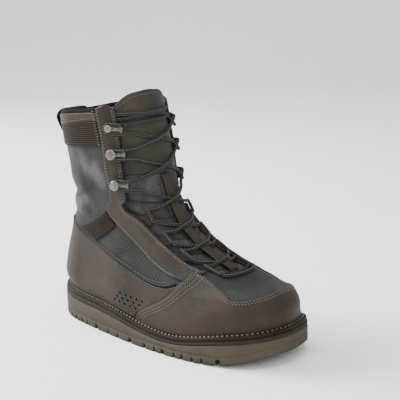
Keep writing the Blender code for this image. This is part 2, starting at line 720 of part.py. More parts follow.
def facet_piece(lines, low, high, across=1):
    """A small slab that lies on the facets of the skin."""
    t, q = swept(lines, across)
    return slab(on_facets(t, q, low), on_facets(t, q, high))


def build_rand(material):
    half = resample(RAND_TOP, 22)
    top = np.vstack([half[::-1], [(t, -q) for t, q in half[1:]]])
    foot = np.column_stack([np.full(len(top), -0.02), top[:, 1]])
    return panel("toe_rand", [foot, top], material)


def seam_level(q):
    """Level of the rand's rear seam at a share round. Behind the seam it is the foot."""
    seam = RAND_TOP[RAND_TOP.index(max(RAND_TOP)):]
    clear = 2 * SEAM / (4 * BALL_WIDTH)
    return float(np.interp(q, [p[1] + clear for p in seam], [p[0] for p in seam]))


def build_counter(material):
    half = resample(COUNTER_TOP, 16)
    low = [(seam_level(q), q) for _, q in half]
    top = np.vstack([half, mirrored(half[-2::-1])])
    foot = np.vstack([low, mirrored(low[-2::-1])])
    return panel("heel_counter", [foot, top], material, across=5)


def build_eyestay(side, material):
    """The leather strip along one edge of the throat, wide at the foot and narrow above."""
    rear = resample(EYESTAY_REAR, 20)
    edge = throat_edge(0.345, 1.02, 1)
    front = resample(np.vstack([EYESTAY_FOOT[:1], edge]), 20)
    middle = resample([EYESTAY_FOOT[1]] + [(0.40, 0.14), (1.02, 0.15)], 20)
    lines = np.array([front, middle, rear])
    lines[:, 0, 0] += SEAM / UPPER_HEIGHT
    if side == "inner":
        lines[..., 1] = 1 - lines[..., 1]
    return panel(f"eyestay_{side}", lines, material, across=2)


def build_ankle_rib(side, material):
    """The padded ribbed panel behind the ankle bone."""
    a, b, c, d = ANKLE_RIB
    lines = np.array([resample([a, b], 5), resample([d, c], 5)])
    if side == "inner":
        lines[..., 1] = 1 - lines[..., 1]
    return panel(f"ankle_ribs_{side}", lines, material, across=2)


def build_band(name, levels, front, material, thick=OVERLAY):
    """A band round the back of the collar between the two eyestays."""
    shares = np.linspace(front, 1 - front, 17)
    lines = [[(level, q) for q in shares] for level in levels]
    return panel(name, lines, material, across=1, thick=thick)


def build_tongue(material):
    """The padded tongue under the throat, cut from a layer on the inside of the upper."""
    levels = np.array([TONGUE_FOOT, 0.33, 0.36, 0.40, 0.46, 0.53, 0.60, 0.67, 0.75, 0.85, 0.93, 1.0])
    across = np.linspace(-1, 1, 9)
    share, top = np.array(TONGUE_TOP).T
    half = np.maximum(throat_half(levels), TONGUE_FOOT_HALF) + TONGUE_OVERLAP
    narrow = 1 - 0.25 * np.clip((levels - 0.94) / 0.06, 0, 1)
    lines = []
    for place in across:
        end = np.interp(abs(place), share, top)
        t = TONGUE_FOOT + (levels - TONGUE_FOOT) * (end - TONGUE_FOOT) / (1 - TONGUE_FOOT)
        lines.append(np.column_stack([t, share_at(t, place * half * narrow)]))
    outer = -(WALL + GAP)
    layer = shell("tongue", outer - TONGUE_THICK, outer, levels=SKIN_LEVELS + (TONGUE_LEVEL,))
    region = new_object("region", *patch(lines, outer - 2 * TONGUE_THICK, outer + 2 * WALL, 1))
    return combine(layer, region, "INTERSECT", material)


# Fittings

def frame_at(t, q, lift):
    """Placement on the skin: X points to the front, Y up the boot, Z outwards."""
    normal = Vector(outward(t, q))
    step = 0.01
    forward = Vector(surface(t, q - step) - surface(t, q + step))
    if q > 0.5:
        forward = -forward
    forward = (forward - normal * forward.dot(normal)).normalized()
    up = normal.cross(forward)
    matrix = Matrix((forward, up, normal)).transposed().to_4x4()
    matrix.translation = Vector(skin(t, q, lift))
    return matrix


def prism(outline, low, high):
    """A closed upright prism over a plan outline."""
    n = len(outline)
    points = [(x, y, z) for z in (low, high) for x, y in outline]
    faces = [tuple(range(n))[::-1], tuple(range(n, 2 * n))]
    return points, faces + [(j, (j + 1) % n, (j + 1) % n + n, j + n) for j in range(n)]


def disc(x, radius, count=8):
    turns = np.linspace(0, 2 * math.pi, count, endpoint=False)
    return [(x + radius * math.cos(a), radius * math.sin(a)) for a in turns]


def hook_frame(level, sign):
    """Placement of a hook: its plate lies on the eyestay, from the throat's edge backwards."""
    middle = float(throat_half(level)) + HOOK_LENGTH / 2
    return frame_at(level, float(share_at(level, sign * middle)) % 1.0, 4 * GAP + OVERLAY)


def build_hook(name, level, sign, material):
    """A speed hook: a narrow plate on the eyestay, a post and a round head over the lace."""
    under_head = 2 * LACE_RADIUS + 3 * GAP
    tip = HOOK_LENGTH / 2
    post_x = HOOK_NECK - tip
    plate = [(post_x, -HOOK_NECK), (tip - HOOK_NECK, -HOOK_NECK), (tip, -0.5 * HOOK_NECK),
             (tip, 0.5 * HOOK_NECK), (tip - HOOK_NECK, HOOK_NECK), (post_x, HOOK_NECK)]
    hook = new_object(name, *prism(plate, 0.0, HOOK_THICK), material)
    top = under_head + 0.5 * HOOK_THICK
    post = new_object("post", *prism(disc(post_x, HOOK_NECK), 0.3 * HOOK_THICK, top))
    combine(hook, post, "UNION", material)
    head = disc(post_x, HOOK_HEAD, 10)
    head = new_object("head", *prism(head, under_head, under_head + HOOK_THICK))
    combine(hook, head, "UNION", material)
    hook.data.transform(hook_frame(level, sign))
    return hook


def per_level(level, run):
    """Metres of the skin for each whole level, at a distance from the front."""
    step = 0.02
    ends = [surface(level + k * step, share_at(level, run)) for k in (-1, 1)]
    return float(np.linalg.norm(ends[1] - ends[0])) / (2 * step)


def build_loop(name, level, sign, material):
    """A webbing loop from beside the eyestay, lying on the tongue."""
    half = LOOP_WIDTH / 2 / per_level(level, float(throat_half(level)))
    edge = np.linspace(level - half, level + half, 3)
    near = min(float(throat_half(v)) for v in np.linspace(level - 1.3 * half, level + 1.3 * half, 5))
    lines = []
    for inwards, narrow in ((0.0, 1.0), (0.8, 1.0), (1.0, 0.7)):
        run = sign * (near - 3 * SEAM - LOOP_REACH * inwards)
        lines.append([(level + (v - level) * narrow, float(share_at(level, run))) for v in edge])
    return new_object(name, *facet_piece(lines, -WALL + GAP, -WALL + GAP + LOOP_THICK), material)


def crossing(index):
    """The level where the two strands cross between one pair of fittings and the next."""
    start, end = lace_ends(index)[1], lace_ends(index + 1)[0]
    low, high = (lace_run(k) for k in (index, index + 1))
    return start + (end - start) * low / (low + high)


def build_keeper(name, index, material):
    """A webbing bridge on the tongue's centre line, over a crossing of the lace."""
    level = crossing(index)
    half = KEEPER_LENGTH / 2 / per_level(level, 0.0)
    floor = -WALL + GAP
    over_lace = LACE_LIFT + LACE_RADIUS + 2 * GAP
    lines, lifts = [], []
    arch = ((-1.0, floor), (-0.85, floor), (-0.55, over_lace), (0.55, over_lace), (0.85, floor), (1.0, floor))
    for k, lift in arch:
        t = level + k * half
        lines.append([(t, float(share_at(t, side * KEEPER_WIDTH / 2))) for side in (-1, 0, 1)])
        lifts.append([lift] * 3)
    t, q = np.moveaxis(np.array(lines), -1, 0)
    q = np.where(q < 0, q + 1, q)
    lift = np.array(lifts)
    return new_object(name, *slab(on_facets(t, q, lift), on_facets(t, q, lift + KEEPER_THICK)), material)


LACE_STEPS = 5
LACE_SIDES = 5
LACE_LIFT = -WALL + 2 * GAP + LACE_RADIUS  # the lace's middle where it lies on the tongue
FITTINGS = len(LOOP_LEVELS) + len(HOOK_LEVELS)


def lace_run(index):
    """How far from the front a strand leaves a loop or a hook."""
    if index < len(LOOP_LEVELS):
        return float(throat_half(LOOP_LEVELS[index])) - 3 * SEAM - 0.5 * LOOP_REACH
    return float(throat_half(HOOK_LEVELS[index - len(LOOP_LEVELS)])) - LACE_RADIUS


def lace_ends(index):
    """Levels where the strand comes to a loop or hook and leaves it. It starts in the first loop."""
    level = (LOOP_LEVELS + HOOK_LEVELS)[index]
    if index < len(LOOP_LEVELS):
        reach = LOOP_WIDTH / 2 + 2 * LACE_RADIUS
    else:
        reach = HOOK_NECK + LACE_RADIUS + 2 * GAP
    half = reach / per_level(level, lace_run(index))
    return (level if index == 0 else level - half), level + half


def lace_at_fitting(index, sign):
    """Points of the lace along a loop, or round the post of a hook, from below to above."""
    if index < len(LOOP_LEVELS):
        run = sign * lace_run(index)
        lift = -WALL + 2 * GAP + LOOP_THICK + LACE_RADIUS
        levels = np.linspace(*lace_ends(index), 2 if index == 0 else 3)
        return [on_facets(t, share_at(t, run), lift) for t in levels]
    matrix = hook_frame(HOOK_LEVELS[index - len(LOOP_LEVELS)], sign)
    reach = HOOK_NECK + LACE_RADIUS + 2 * GAP
    post_x = HOOK_NECK - HOOK_LENGTH / 2
    turns = np.radians((-90, -30, 30, 90))
    round_post = [(post_x - reach * math.cos(a), reach * math.sin(a)) for a in turns]
    local = [(HOOK_LENGTH / 2, -reach)] + round_post + [(HOOK_LENGTH / 2, reach)]
    return [matrix @ Vector((x, y, LACE_RADIUS)) for x, y in local]


def lace_between(start, end):
    """Points of a strand across the tongue, from one (level, run) to another."""
    (t0, run0), (t1, run1) = start, end
    points = []
    for u in np.linspace(0, 1, LACE_STEPS + 2)[1:-1]:
        t, run = t0 + (t1 - t0) * u, run0 + (run1 - run0) * u
        points.append(on_facets(t, share_at(t, run), LACE_LIFT))
    return points


def build_lace(material):
    """Two strands that cross at every level, joined where they cross and at both ends."""
    strands = []
    for first in (1, -1):
        points = []
        for index in range(FITTINGS):
            sign = first * (1 if index % 2 == 0 else -1)
            points += lace_at_fitting(index, sign)
            if index + 1 < FITTINGS:
                start = (lace_ends(index)[1], sign * lace_run(index))
                end = (lace_ends(index + 1)[0], -sign * lace_run(index + 1))
                points += lace_between(start, end)
        strands.append(points)
    foot, run = LOOP_LEVELS[0], lace_run(0)
    past_loop = run - 0.5 * LOOP_REACH - 2 * LACE_RADIUS
    lift = -WALL + 4 * GAP + LOOP_THICK + LACE_RADIUS
    start, end = ([on_facets(foot, share_at(foot, sign * r), lift) for r in (run, past_loop)] for sign in (1, -1))
    strands.append(start + end[::-1])
    top, run = lace_ends(FITTINGS - 1)[1], lace_run(FITTINGS - 1)
    start, end = (lace_at_fitting(FITTINGS - 1, sign)[-1] for sign in (1, -1))
    strands.append([start] + lace_between((top, run), (top, -run)) + [end])
    lace = new_object("lace", *tube(strands[0], LACE_RADIUS, LACE_SIDES), material)
    for points in strands[1:]:
        combine(lace, new_object("strand", *tube(points, LACE_RADIUS, LACE_SIDES)), "UNION", material)
    return lace


def strap(path, width, thick, axis_y=0.0):
    """A flat strap of a given width along a path in the middle plane."""
    path = np.asarray(path, float)
    along = np.gradient(path, axis=0)
    along /= np.linalg.norm(along, axis=1)[:, None]
    across = np.column_stack([along[:, 1], -along[:, 0]]) * thick / 2
    low, high = [], []
    for y in (-width / 2, width / 2):
        low.append([(x, axis_y + y, z) for x, z in path - across])
        high.append([(x, axis_y + y, z) for x, z in path + across])
    return slab(np.array(low), np.array(high))


def build_pull_loop(material):
    """The webbing loop at the back, over the collar's edge."""
    top = surface(1.0, 0.5)
    drop = PULL_DROP / UPPER_HEIGHT
    foot = surface(1.0 - drop, 0.5)
    out = 2 * OVERLAY + 3 * GAP + PULL_THICK / 2 + 0.0005
    corner = on_facets(1.0, 0.5 - share_at(1.0, PULL_WIDTH / 2), -WALL)
    inside = corner[0] - top[0] + GAP + PULL_THICK / 2 + 0.0010
    path = [
        (foot[0] - out, foot[2]),
        (foot[0] - out - 0.4 * PULL_BULGE, foot[2] + 0.25 * PULL_DROP),
        (top[0] - out - PULL_BULGE, top[2] - 0.4 * PULL_DROP),
        (top[0] - out - PULL_BULGE, top[2] - 0.1 * PULL_DROP),
        (top[0] - out - 0.6 * PULL_BULGE, top[2] + 0.0030),
        (top[0] - out * 0.4, top[2] + 0.0045),
        (top[0] + inside * 0.8, top[2] + 0.0035),
        (top[0] + inside, top[2] - 0.0020),
        (top[0] + inside + 0.0012, top[2] - 0.5 * PULL_DROP),
    ]
    return new_object("pull_loop", *strap(path, PULL_WIDTH, PULL_THICK), material)


def build_back_tab(material):
    """The small folded tab under the cuff, at the back."""
    level = CUFF_LEVELS[0] - 0.003 - TAB_HEIGHT / UPPER_HEIGHT
    low = surface(level, 0.5)
    high = surface(level + TAB_HEIGHT / UPPER_HEIGHT, 0.5)
    points = []
    for y in (-TAB_WIDTH / 2, TAB_WIDTH / 2):
        for point, reach in ((low, GAP + 0.0012), (low, TAB_REACH), (high, TAB_REACH * 0.8),
                             (high, GAP + 0.0012)):
            points.append((point[0] - reach, y, point[2]))
    faces = [(0, 1, 2, 3), (7, 6, 5, 4), (0, 4, 5, 1), (1, 5, 6, 2), (2, 6, 7, 3), (3, 7, 4, 0)]
    return new_object("back_tab", points, faces, material)


def main():
    for old in list(bpy.data.objects):
        bpy.data.objects.remove(old)

    rubber = new_material("sole_rubber", (0.19, 0.165, 0.13), 0.85)
    dark_rubber = new_material("midsole_rubber", (0.035, 0.028, 0.022), 0.8)
    welt_leather = new_material("welt_leather", (0.05, 0.036, 0.027), 0.7)
    board = new_material("insole_board", (0.02, 0.02, 0.02), 0.95)
    cloth = new_material("upper_cloth", (0.09, 0.098, 0.088), 0.85)
    leather = new_material("leather", (0.105, 0.083, 0.07), 0.6)
    rib_cloth = new_material("ribbed_cloth", (0.09, 0.062, 0.045), 0.85)
    webbing = new_material("webbing", (0.10, 0.085, 0.075), 0.85)
    black = new_material("black_webbing", (0.012, 0.012, 0.013), 0.9)
    metal = new_material("hook_metal", (0.42, 0.40, 0.37), 0.4, 0.8)
    cord = new_material("lace_cord", (0.035, 0.033, 0.03), 0.85)

    parts = [
        build_outsole(rubber),
        build_midsole(dark_rubber),
        build_welt(welt_leather),
        build_insole(board),
        build_upper(cloth),
        build_rand(leather),
        build_counter(leather),
        build_band("ribbed_cuff", CUFF_LEVELS, 0.196, rib_cloth),
        build_band("collar_binding", BINDING_LEVELS, 0.196, black),
        build_tongue(leather),
        build_pull_loop(black),
        build_back_tab(black),
        build_lace(cord),
    ]
    for side, sign in (("outer", 1), ("inner", -1)):
        parts.append(build_eyestay(side, leather))
        parts.append(build_ankle_rib(side, rib_cloth))
        for n, level in enumerate(HOOK_LEVELS, 1):
            parts.append(build_hook(f"lace_hook_{side}_{n}", level, sign, metal))
        for n, level in enumerate(LOOP_LEVELS, 1):
            parts.append(build_loop(f"lace_loop_{side}_{n}", level, sign, webbing))
    for n, index in enumerate(KEEPER_CROSSINGS, 1):
        parts.append(build_keeper(f"tongue_keeper_{n}", index, webbing))

    boot = bpy.data.objects.new("boot", None)
    bpy.context.scene.collection.objects.link(boot)
    boot.location = (-EDGE[:, 0].max() / 2, -(EDGE[:, 1].min() + EDGE[:, 1].max()) / 2, 0.0)
    for part in parts:
        part.parent = boot


main()
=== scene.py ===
# %% [markdown]
# A boot is a good subject for a first lesson in shapes that follow a surface. The maker pulls
# every panel over one foot shape, the last. Here the last is a function too: a level t goes up
# from the welt to the collar, a share q goes once round, and each panel, stitch and lace asks
# the same function where it lies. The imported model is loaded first, because it fixes the size.
# %% Load the frame
import math

import bmesh
import bpy
import numpy as np
from mathutils import Matrix, Vector


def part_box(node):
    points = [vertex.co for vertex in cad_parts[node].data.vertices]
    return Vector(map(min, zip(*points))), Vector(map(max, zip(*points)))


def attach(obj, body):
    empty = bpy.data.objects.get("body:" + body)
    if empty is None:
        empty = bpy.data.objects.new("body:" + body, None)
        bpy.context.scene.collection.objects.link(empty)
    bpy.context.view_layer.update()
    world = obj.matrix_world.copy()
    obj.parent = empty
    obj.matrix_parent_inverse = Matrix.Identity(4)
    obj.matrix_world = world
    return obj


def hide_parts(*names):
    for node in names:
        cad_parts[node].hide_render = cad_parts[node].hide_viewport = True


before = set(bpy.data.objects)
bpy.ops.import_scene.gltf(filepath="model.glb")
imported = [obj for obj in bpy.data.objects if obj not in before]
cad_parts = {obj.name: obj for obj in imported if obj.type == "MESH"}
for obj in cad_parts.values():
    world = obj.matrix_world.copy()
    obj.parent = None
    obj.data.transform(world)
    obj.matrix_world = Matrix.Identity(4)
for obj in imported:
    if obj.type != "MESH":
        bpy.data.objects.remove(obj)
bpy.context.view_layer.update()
BODY = "root"

# %% [markdown]
# The camera comes early, so that every later step can be judged against the photo. It stands
# 42 degrees round from the outer side and looks slightly down, with a small roll. The focal
# length is given in pixels of a frame that is 400 wide and becomes millimetres on a 36 mm film.
# %% Camera
HEEL_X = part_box("outsole")[0][0]
SIDE_Y = 0.00255  # the last's middle line, beside the middle of the footprint
CAMERA_AZIMUTH = math.radians(42.15)
CAMERA_HEIGHT = math.radians(12.53)
CAMERA_ROLL = math.radians(-1.66)
CAMERA_DISTANCE = 1.0977
CAMERA_AIM = Vector((HEEL_X + 0.1934, SIDE_Y + 0.0113, 0.1457))
FOCAL_PIXELS = 1060.8
FRAME_PIXELS = 400


def towards(azimuth, height):
    """Direction from the boot to an eye or a lamp. Azimuth 0 is the outer side, 90 degrees the front."""
    flat = math.cos(height)
    return Vector((math.sin(azimuth) * flat, -math.cos(azimuth) * flat, math.sin(height)))


def place_camera():
    back = towards(CAMERA_AZIMUTH, CAMERA_HEIGHT)
    level = Vector((math.cos(CAMERA_AZIMUTH), math.sin(CAMERA_AZIMUTH), 0.0))
    above = back.cross(level)
    right = math.cos(CAMERA_ROLL) * level + math.sin(CAMERA_ROLL) * above
    up = back.cross(right)
    data = bpy.data.cameras.new("photo_camera")
    data.sensor_width = 36.0
    data.lens = 36.0 * FOCAL_PIXELS / FRAME_PIXELS
    camera = bpy.data.objects.new("photo_camera", data)
    bpy.context.scene.collection.objects.link(camera)
    turn = Matrix((right, up, back)).transposed().to_4x4()
    camera.matrix_world = Matrix.Translation(CAMERA_AIM + back * CAMERA_DISTANCE) @ turn
    bpy.context.scene.camera = camera


place_camera()
print("camera stands at:", [round(v, 3) for v in bpy.context.scene.camera.location])

# %% [markdown]
# Next comes the outline of the sole and the heights of its layers. A smooth line that never
# overshoots its points (a monotone cubic) is used for every height, because a plain spline
# would add small humps between the heel and the ball.
# %% Outline and heights of the sole
LENGTH = 0.318
BALL_WIDTH = 0.114
HEEL_RUBBER, BALL_RUBBER, TOE_RUBBER = 0.0240, 0.0130, 0.0152
TOE_SPRING, HEEL_SPRING = 0.0135, 0.0035
HEEL_MIDSOLE, BALL_MIDSOLE, TOE_MIDSOLE = 0.0047, 0.0022, 0.0038
WELT_THICK, WELT_INSET, WELT_SHELF = 0.0040, 0.0012, 0.0062
LUG_DEPTH, EDGE_LUG, NOTCH, LUG_PITCH = 0.0050, 0.0150, 0.0030, 0.0155
STUD_RADIUS, STUD_PITCH = 0.0048, 0.0195
UPPER_HEIGHT, WALL, GAP, OVERLAY, SEAM = 0.193, 0.0030, 0.0003, 0.0014, 0.0008
SOLE_EDGE = (
    (0.000, 0.000), (0.035, -0.175), (0.130, -0.333), (0.280, -0.424), (0.450, -0.497),
    (0.600, -0.532), (0.720, -0.530), (0.850, -0.472), (0.945, -0.326), (0.990, -0.122),
    (1.000, 0.070), (0.965, 0.375), (0.875, 0.484), (0.750, 0.472), (0.600, 0.375),
    (0.450, 0.330), (0.280, 0.352), (0.130, 0.336), (0.035, 0.195),
)


def curve(xs, ys, at):
    """A smooth line through the points that never overshoots them (monotone cubic)."""
    xs, ys, at = (np.asarray(v, float) for v in (xs, ys, at))
    wide = (slice(None),) + (None,) * (ys.ndim - 1)
    step = np.diff(xs)[wide]
    slope = np.diff(ys, axis=0) / step
    after, before = 2 * step[1:] + step[:-1], step[1:] + 2 * step[:-1]
    steady = slope[:-1] * slope[1:] > 0
    one, two = (np.where(steady, s, 1.0) for s in (slope[:-1], slope[1:]))
    tangent = np.zeros_like(ys)
    tangent[1:-1] = np.where(steady, (after + before) / (after / one + before / two), 0.0)
    tangent[0], tangent[-1] = slope[0], slope[-1]
    flat = at.ravel()
    i = np.clip(np.searchsorted(xs, flat, side="right") - 1, 0, len(xs) - 2)
    u = ((flat - xs[i]) / (xs[i + 1] - xs[i]))[wide]
    found = (
        (2 * u**3 - 3 * u**2 + 1) * ys[i]
        + (u**3 - 2 * u**2 + u) * step[i] * tangent[i]
        + (-2 * u**3 + 3 * u**2) * ys[i + 1]
        + (u**3 - u**2) * step[i] * tangent[i + 1]
    )
    return found.reshape(at.shape + ys.shape[1:])


def round_through(points, per_span, closed):
    """A round line through plan or surface points (Catmull-Rom)."""
    p = np.asarray(points, float)
    if not closed:
        p = np.vstack([2 * p[0] - p[1], p, 2 * p[-1] - p[-2]])
    a, b, c, d = (np.roll(p, k, axis=0)[:, None] for k in (1, 0, -1, -2))
    u = (np.arange(per_span) / per_span)[None, :, None]
    line = 2 * b + (c - a) * u + (2 * a - 5 * b + 4 * c - d) * u**2
    line = 0.5 * (line + (3 * b - a - 3 * c + d) * u**3)
    if closed:
        return line.reshape(-1, p.shape[1])
    return np.vstack([line[1:-2].reshape(-1, p.shape[1]), p[-2:-1]])


EDGE = round_through(SOLE_EDGE, 24, True) * (LENGTH, BALL_WIDTH)


def run_along(points):
    """Distance along a line, at each of its points."""
    return np.r_[0, np.cumsum(np.linalg.norm(np.diff(points, axis=0), axis=1))]


def unit(vectors):
    return vectors / (np.linalg.norm(vectors, axis=-1)[..., None] + 1e-12)


def inset(amount):
    """The outsole's outline moved inwards."""
    along = unit(np.roll(EDGE, -1, axis=0) - np.roll(EDGE, 1, axis=0))
    return EDGE + np.stack([-along[:, 1], along[:, 0]], 1) * amount


def sides(line):
    """The outer and the inner half of a closed outline, both from heel to toe."""
    loop = np.roll(line, -line[:, 0].argmin(), axis=0)
    toe = loop[:, 0].argmax()
    return loop[: toe + 1], np.vstack([loop[toe:], loop[:1]])[::-1]


def ground(x):
    """Underside of the outsole: flat, with the toe and the back of the heel off the ground."""
    lift = (HEEL_SPRING, 0, 0, 0.24 * TOE_SPRING, TOE_SPRING)
    return curve((0, 0.05, 0.72, 0.86, 1.0), lift, np.clip(np.asarray(x, float) / LENGTH, 0, 1))


def along_sole(x, heel, ball, toe):
    """A height that goes from the heel down to the ball and up again to the toe."""
    share = np.asarray(x, float) / LENGTH
    heights = (heel, 0.9 * heel + 0.1 * ball, ball, 0.35 * ball + 0.65 * toe, toe)
    near = [curve((0, 0.3, 0.65, 0.85, 1.0), heights, share + k) for k in (-0.07, -0.035, 0, 0.035, 0.07)]
    return np.mean(near, axis=0)


def rubber_top(x):
    return along_sole(x, HEEL_RUBBER, BALL_RUBBER, TOE_SPRING + TOE_RUBBER)


def midsole_top(x):
    return rubber_top(x) + GAP + along_sole(x, HEEL_MIDSOLE, BALL_MIDSOLE, TOE_MIDSOLE)


def welt_top(x):
    return midsole_top(x) + GAP + WELT_THICK


def seat(x):
    return welt_top(x) + GAP


# %% [markdown]
# The last itself is a stack of loops, one for each row of a short table, blended upwards. The
# creases that the leather has taken are added to it as soft troughs and ridges, placed
# where the photo shows them, so that the cloth below and the panels above fold together.
# %% The last as a surface
LEVEL_COLUMNS = (
    "back_x", "back_z", "front_x", "front_z", "ridge_y",
    "heel_out", "heel_in", "waist_out", "waist_in", "ball_out", "ball_in",
    "round_back", "round_front", "dip",
)
LEVELS = (
    (0.024, 0.084, 0.987, 0.100, 0.053, 0.289, 0.298, 0.421, 0.298, 0.482, 0.412, 0.13, 0.25, 0.80),
    (0.031, 0.167, 0.969, 0.167, 0.053, 0.285, 0.298, 0.395, 0.307, 0.447, 0.404, 0.14, 0.27, 0.50),
    (0.046, 0.256, 0.890, 0.214, 0.035, 0.276, 0.289, 0.360, 0.316, 0.404, 0.377, 0.15, 0.30, 0.25),
    (0.061, 0.333, 0.783, 0.269, 0.000, 0.268, 0.281, 0.333, 0.325, 0.360, 0.351, 0.17, 0.28, 0.10),
    (0.074, 0.406, 0.692, 0.334, -0.035, 0.268, 0.272, 0.325, 0.325, 0.325, 0.333, 0.19, 0.26, 0.0),
    (0.085, 0.478, 0.616, 0.416, -0.044, 0.281, 0.281, 0.325, 0.325, 0.316, 0.333, 0.22, 0.27, 0.0),
    (0.097, 0.551, 0.560, 0.509, -0.035, 0.307, 0.307, 0.342, 0.342, 0.333, 0.333, 0.26, 0.29, 0.0),
    (0.094, 0.634, 0.522, 0.613, -0.018, 0.333, 0.333, 0.368, 0.360, 0.360, 0.351, 0.31, 0.32, 0.0),
    (0.085, 0.738, 0.491, 0.758, -0.009, 0.360, 0.360, 0.386, 0.386, 0.386, 0.377, 0.34, 0.34, 0.0),
    (0.077, 0.862, 0.465, 0.919, 0.000, 0.386, 0.377, 0.404, 0.395, 0.395, 0.395, 0.35, 0.36, 0.0),
    (0.069, 1.000, 0.437, 1.126, 0.000, 0.404, 0.395, 0.412, 0.404, 0.412, 0.404, 0.36, 0.37, 0.0),
    (0.066, 1.105, 0.418, 1.246, 0.000, 0.412, 0.404, 0.421, 0.412, 0.421, 0.412, 0.36, 0.37, 0.0),
)
COLLAR_LEVEL = 11
COLLAR_DIP = 0.016
WIDTH_PLACES = (0.14, 0.42, 0.70)
HALF = 240
FINE_ROWS = 300
SIDE_SCALE = 4 * BALL_WIDTH  # metres round the boot for each whole share, about
# Creases: start level and share, end level and share, lift in mm (a trough is negative), width in mm
CREASES = (
    (0.700, 0.500, 0.640, 0.300, -1.7, 9.0),
    (0.760, 0.430, 0.720, 0.300, 1.3, 9.0),
    (0.640, 0.470, 0.560, 0.330, 1.5, 9.0),
    (0.560, 0.520, 0.520, 0.420, -1.3, 8.0),
    (0.830, 0.350, 0.760, 0.250, -0.8, 9.0),
    (0.650, 0.720, 0.620, 0.560, -1.4, 9.0),
    (0.720, 0.700, 0.690, 0.560, 1.2, 9.0),
    (0.420, 0.190, 0.340, 0.240, -0.7, 8.0),
    (0.400, 0.810, 0.330, 0.770, -0.7, 8.0),
    (0.275, 0.045, 0.262, -0.040, -0.6, 7.0),
)


def even_steps(points, count):
    """Points at equal steps along an open line."""
    run = run_along(points)
    at = np.linspace(0, run[-1], count)
    return np.stack([np.interp(at, run, points[:, k]) for k in range(points.shape[1])], 1)


def close_level(outer, inner):
    return np.vstack([even_steps(outer[::-1], HALF + 1), even_steps(inner, HALF + 1)[1:]])


def half_width(share, heel, waist, ball, round_back, round_front):
    """Half width along a level: three widths blended, closed by a round back and front."""
    place = np.clip(np.interp(share, WIDTH_PLACES, (0, 1, 2)), 0, 1.999)
    whole = place.astype(int)
    blend = place - whole
    blend = blend**2 * (3 - 2 * blend)
    widths = np.array((heel, waist, ball))
    middle = widths[whole] * (1 - blend) + widths[whole + 1] * blend
    back = np.clip(1 - share / round_back, 0, 1)
    front = np.clip(1 - (1 - share) / round_front, 0, 1)
    return middle * np.sqrt(1 - back**2) * (1 - front**2.3) ** (1 / 2.15)


def upper_level(row):
    """One loop of the last from a row of LEVELS."""
    v = dict(zip(LEVEL_COLUMNS, row))
    share = (1 - np.cos(np.linspace(0, math.pi, 400))) / 2
    x = LENGTH * (v["back_x"] + (v["front_x"] - v["back_x"]) * share)
    ends = UPPER_HEIGHT * np.array((v["back_z"], v["front_z"]))
    chord = seat(0.0) + ends[0] + (ends[1] - ends[0]) * share
    low_back, low_front = seat(0.02 * LENGTH), seat(0.98 * LENGTH)
    z = chord + v["dip"] * (seat(x) - (low_back + (low_front - low_back) * share))
    ridge = BALL_WIDTH * v["ridge_y"] * share**2
    halves = []
    for side, sign in (("out", -1), ("in", 1)):
        widths = [v[f"{place}_{side}"] for place in ("heel", "waist", "ball")]
        width = BALL_WIDTH * half_width(share, *widths, v["round_back"], v["round_front"])
        halves.append(np.column_stack([x, ridge + sign * width, z]))
    return close_level(*halves)


welt_halves = sides(inset(WELT_INSET + WELT_SHELF))
welt_loop = close_level(*(np.column_stack([h, seat(h[:, 0])]) for h in welt_halves))
ROW_LEVELS = np.arange(len(LEVELS) + 1) / COLLAR_LEVEL
TOP_LEVEL = ROW_LEVELS[-1]
FINE = curve(ROW_LEVELS, np.array([welt_loop] + [upper_level(row) for row in LEVELS]),
             np.linspace(0, TOP_LEVEL, FINE_ROWS + 1))
FINE += (HEEL_X, SIDE_Y, 0.0)
FINE_STEPS = np.linalg.norm(np.diff(FINE, axis=1), axis=2)
OUTER_RUN = FINE_STEPS[:, :HALF].sum(axis=1)
INNER_RUN = FINE_STEPS[:, HALF:].sum(axis=1)
print("last:", FINE.shape, "girth at the collar in mm:", round(1000 * float(FINE_STEPS[-30].sum())))


def surface(t, q):
    """Points on the last. The collar dips beside the throat."""
    t, q = np.broadcast_arrays(np.asarray(t, float), np.asarray(q, float))
    beside = np.clip(1 - (np.abs((q + 0.5) % 1.0 - 0.5) - 0.11) / 0.10, 0, 1)
    t = t - COLLAR_DIP * beside * np.clip((t - 0.85) / 0.1, 0, 1)
    row = np.clip(t, 0, TOP_LEVEL - 1e-6) * FINE_ROWS / TOP_LEVEL
    column = (q % 1.0) * 2 * HALF
    i, j = row.astype(int), np.minimum(column.astype(int), 2 * HALF - 1)
    u, v = (row - i)[..., None], (column - j)[..., None]
    low = FINE[i, j] * (1 - v) + FINE[i, j + 1] * v
    high = FINE[i + 1, j] * (1 - v) + FINE[i + 1, j + 1] * v
    return low * (1 - u) + high * u


def outward(t, q, step=0.008):
    """Unit normals of the last."""
    t, q = np.broadcast_arrays(np.asarray(t, float), np.asarray(q, float))
    up = surface(t + step, q) - surface(t - step, q)
    across = surface(t, q + step) - surface(t, q - step)
    return unit(np.cross(up, across))


def crease(t, q):
    """How far the creases lift the surface."""
    total = np.zeros(np.shape(t))
    for turn in (-1, 0, 1):
        flat = np.stack([t * UPPER_HEIGHT, (q + turn) * SIDE_SCALE], -1)
        for t0, q0, t1, q1, lift, width in CREASES:
            start = np.array((t0 * UPPER_HEIGHT, q0 * SIDE_SCALE))
            whole = (t1 * UPPER_HEIGHT, q1 * SIDE_SCALE) - start
            along = (flat - start) @ whole / (whole @ whole)
            near = start + np.clip(along, 0.15, 0.85)[..., None] * whole
            away = np.linalg.norm(flat - near, axis=-1) / (width / 1000)
            total += lift / 1000 * np.exp(-away**2)
    return total


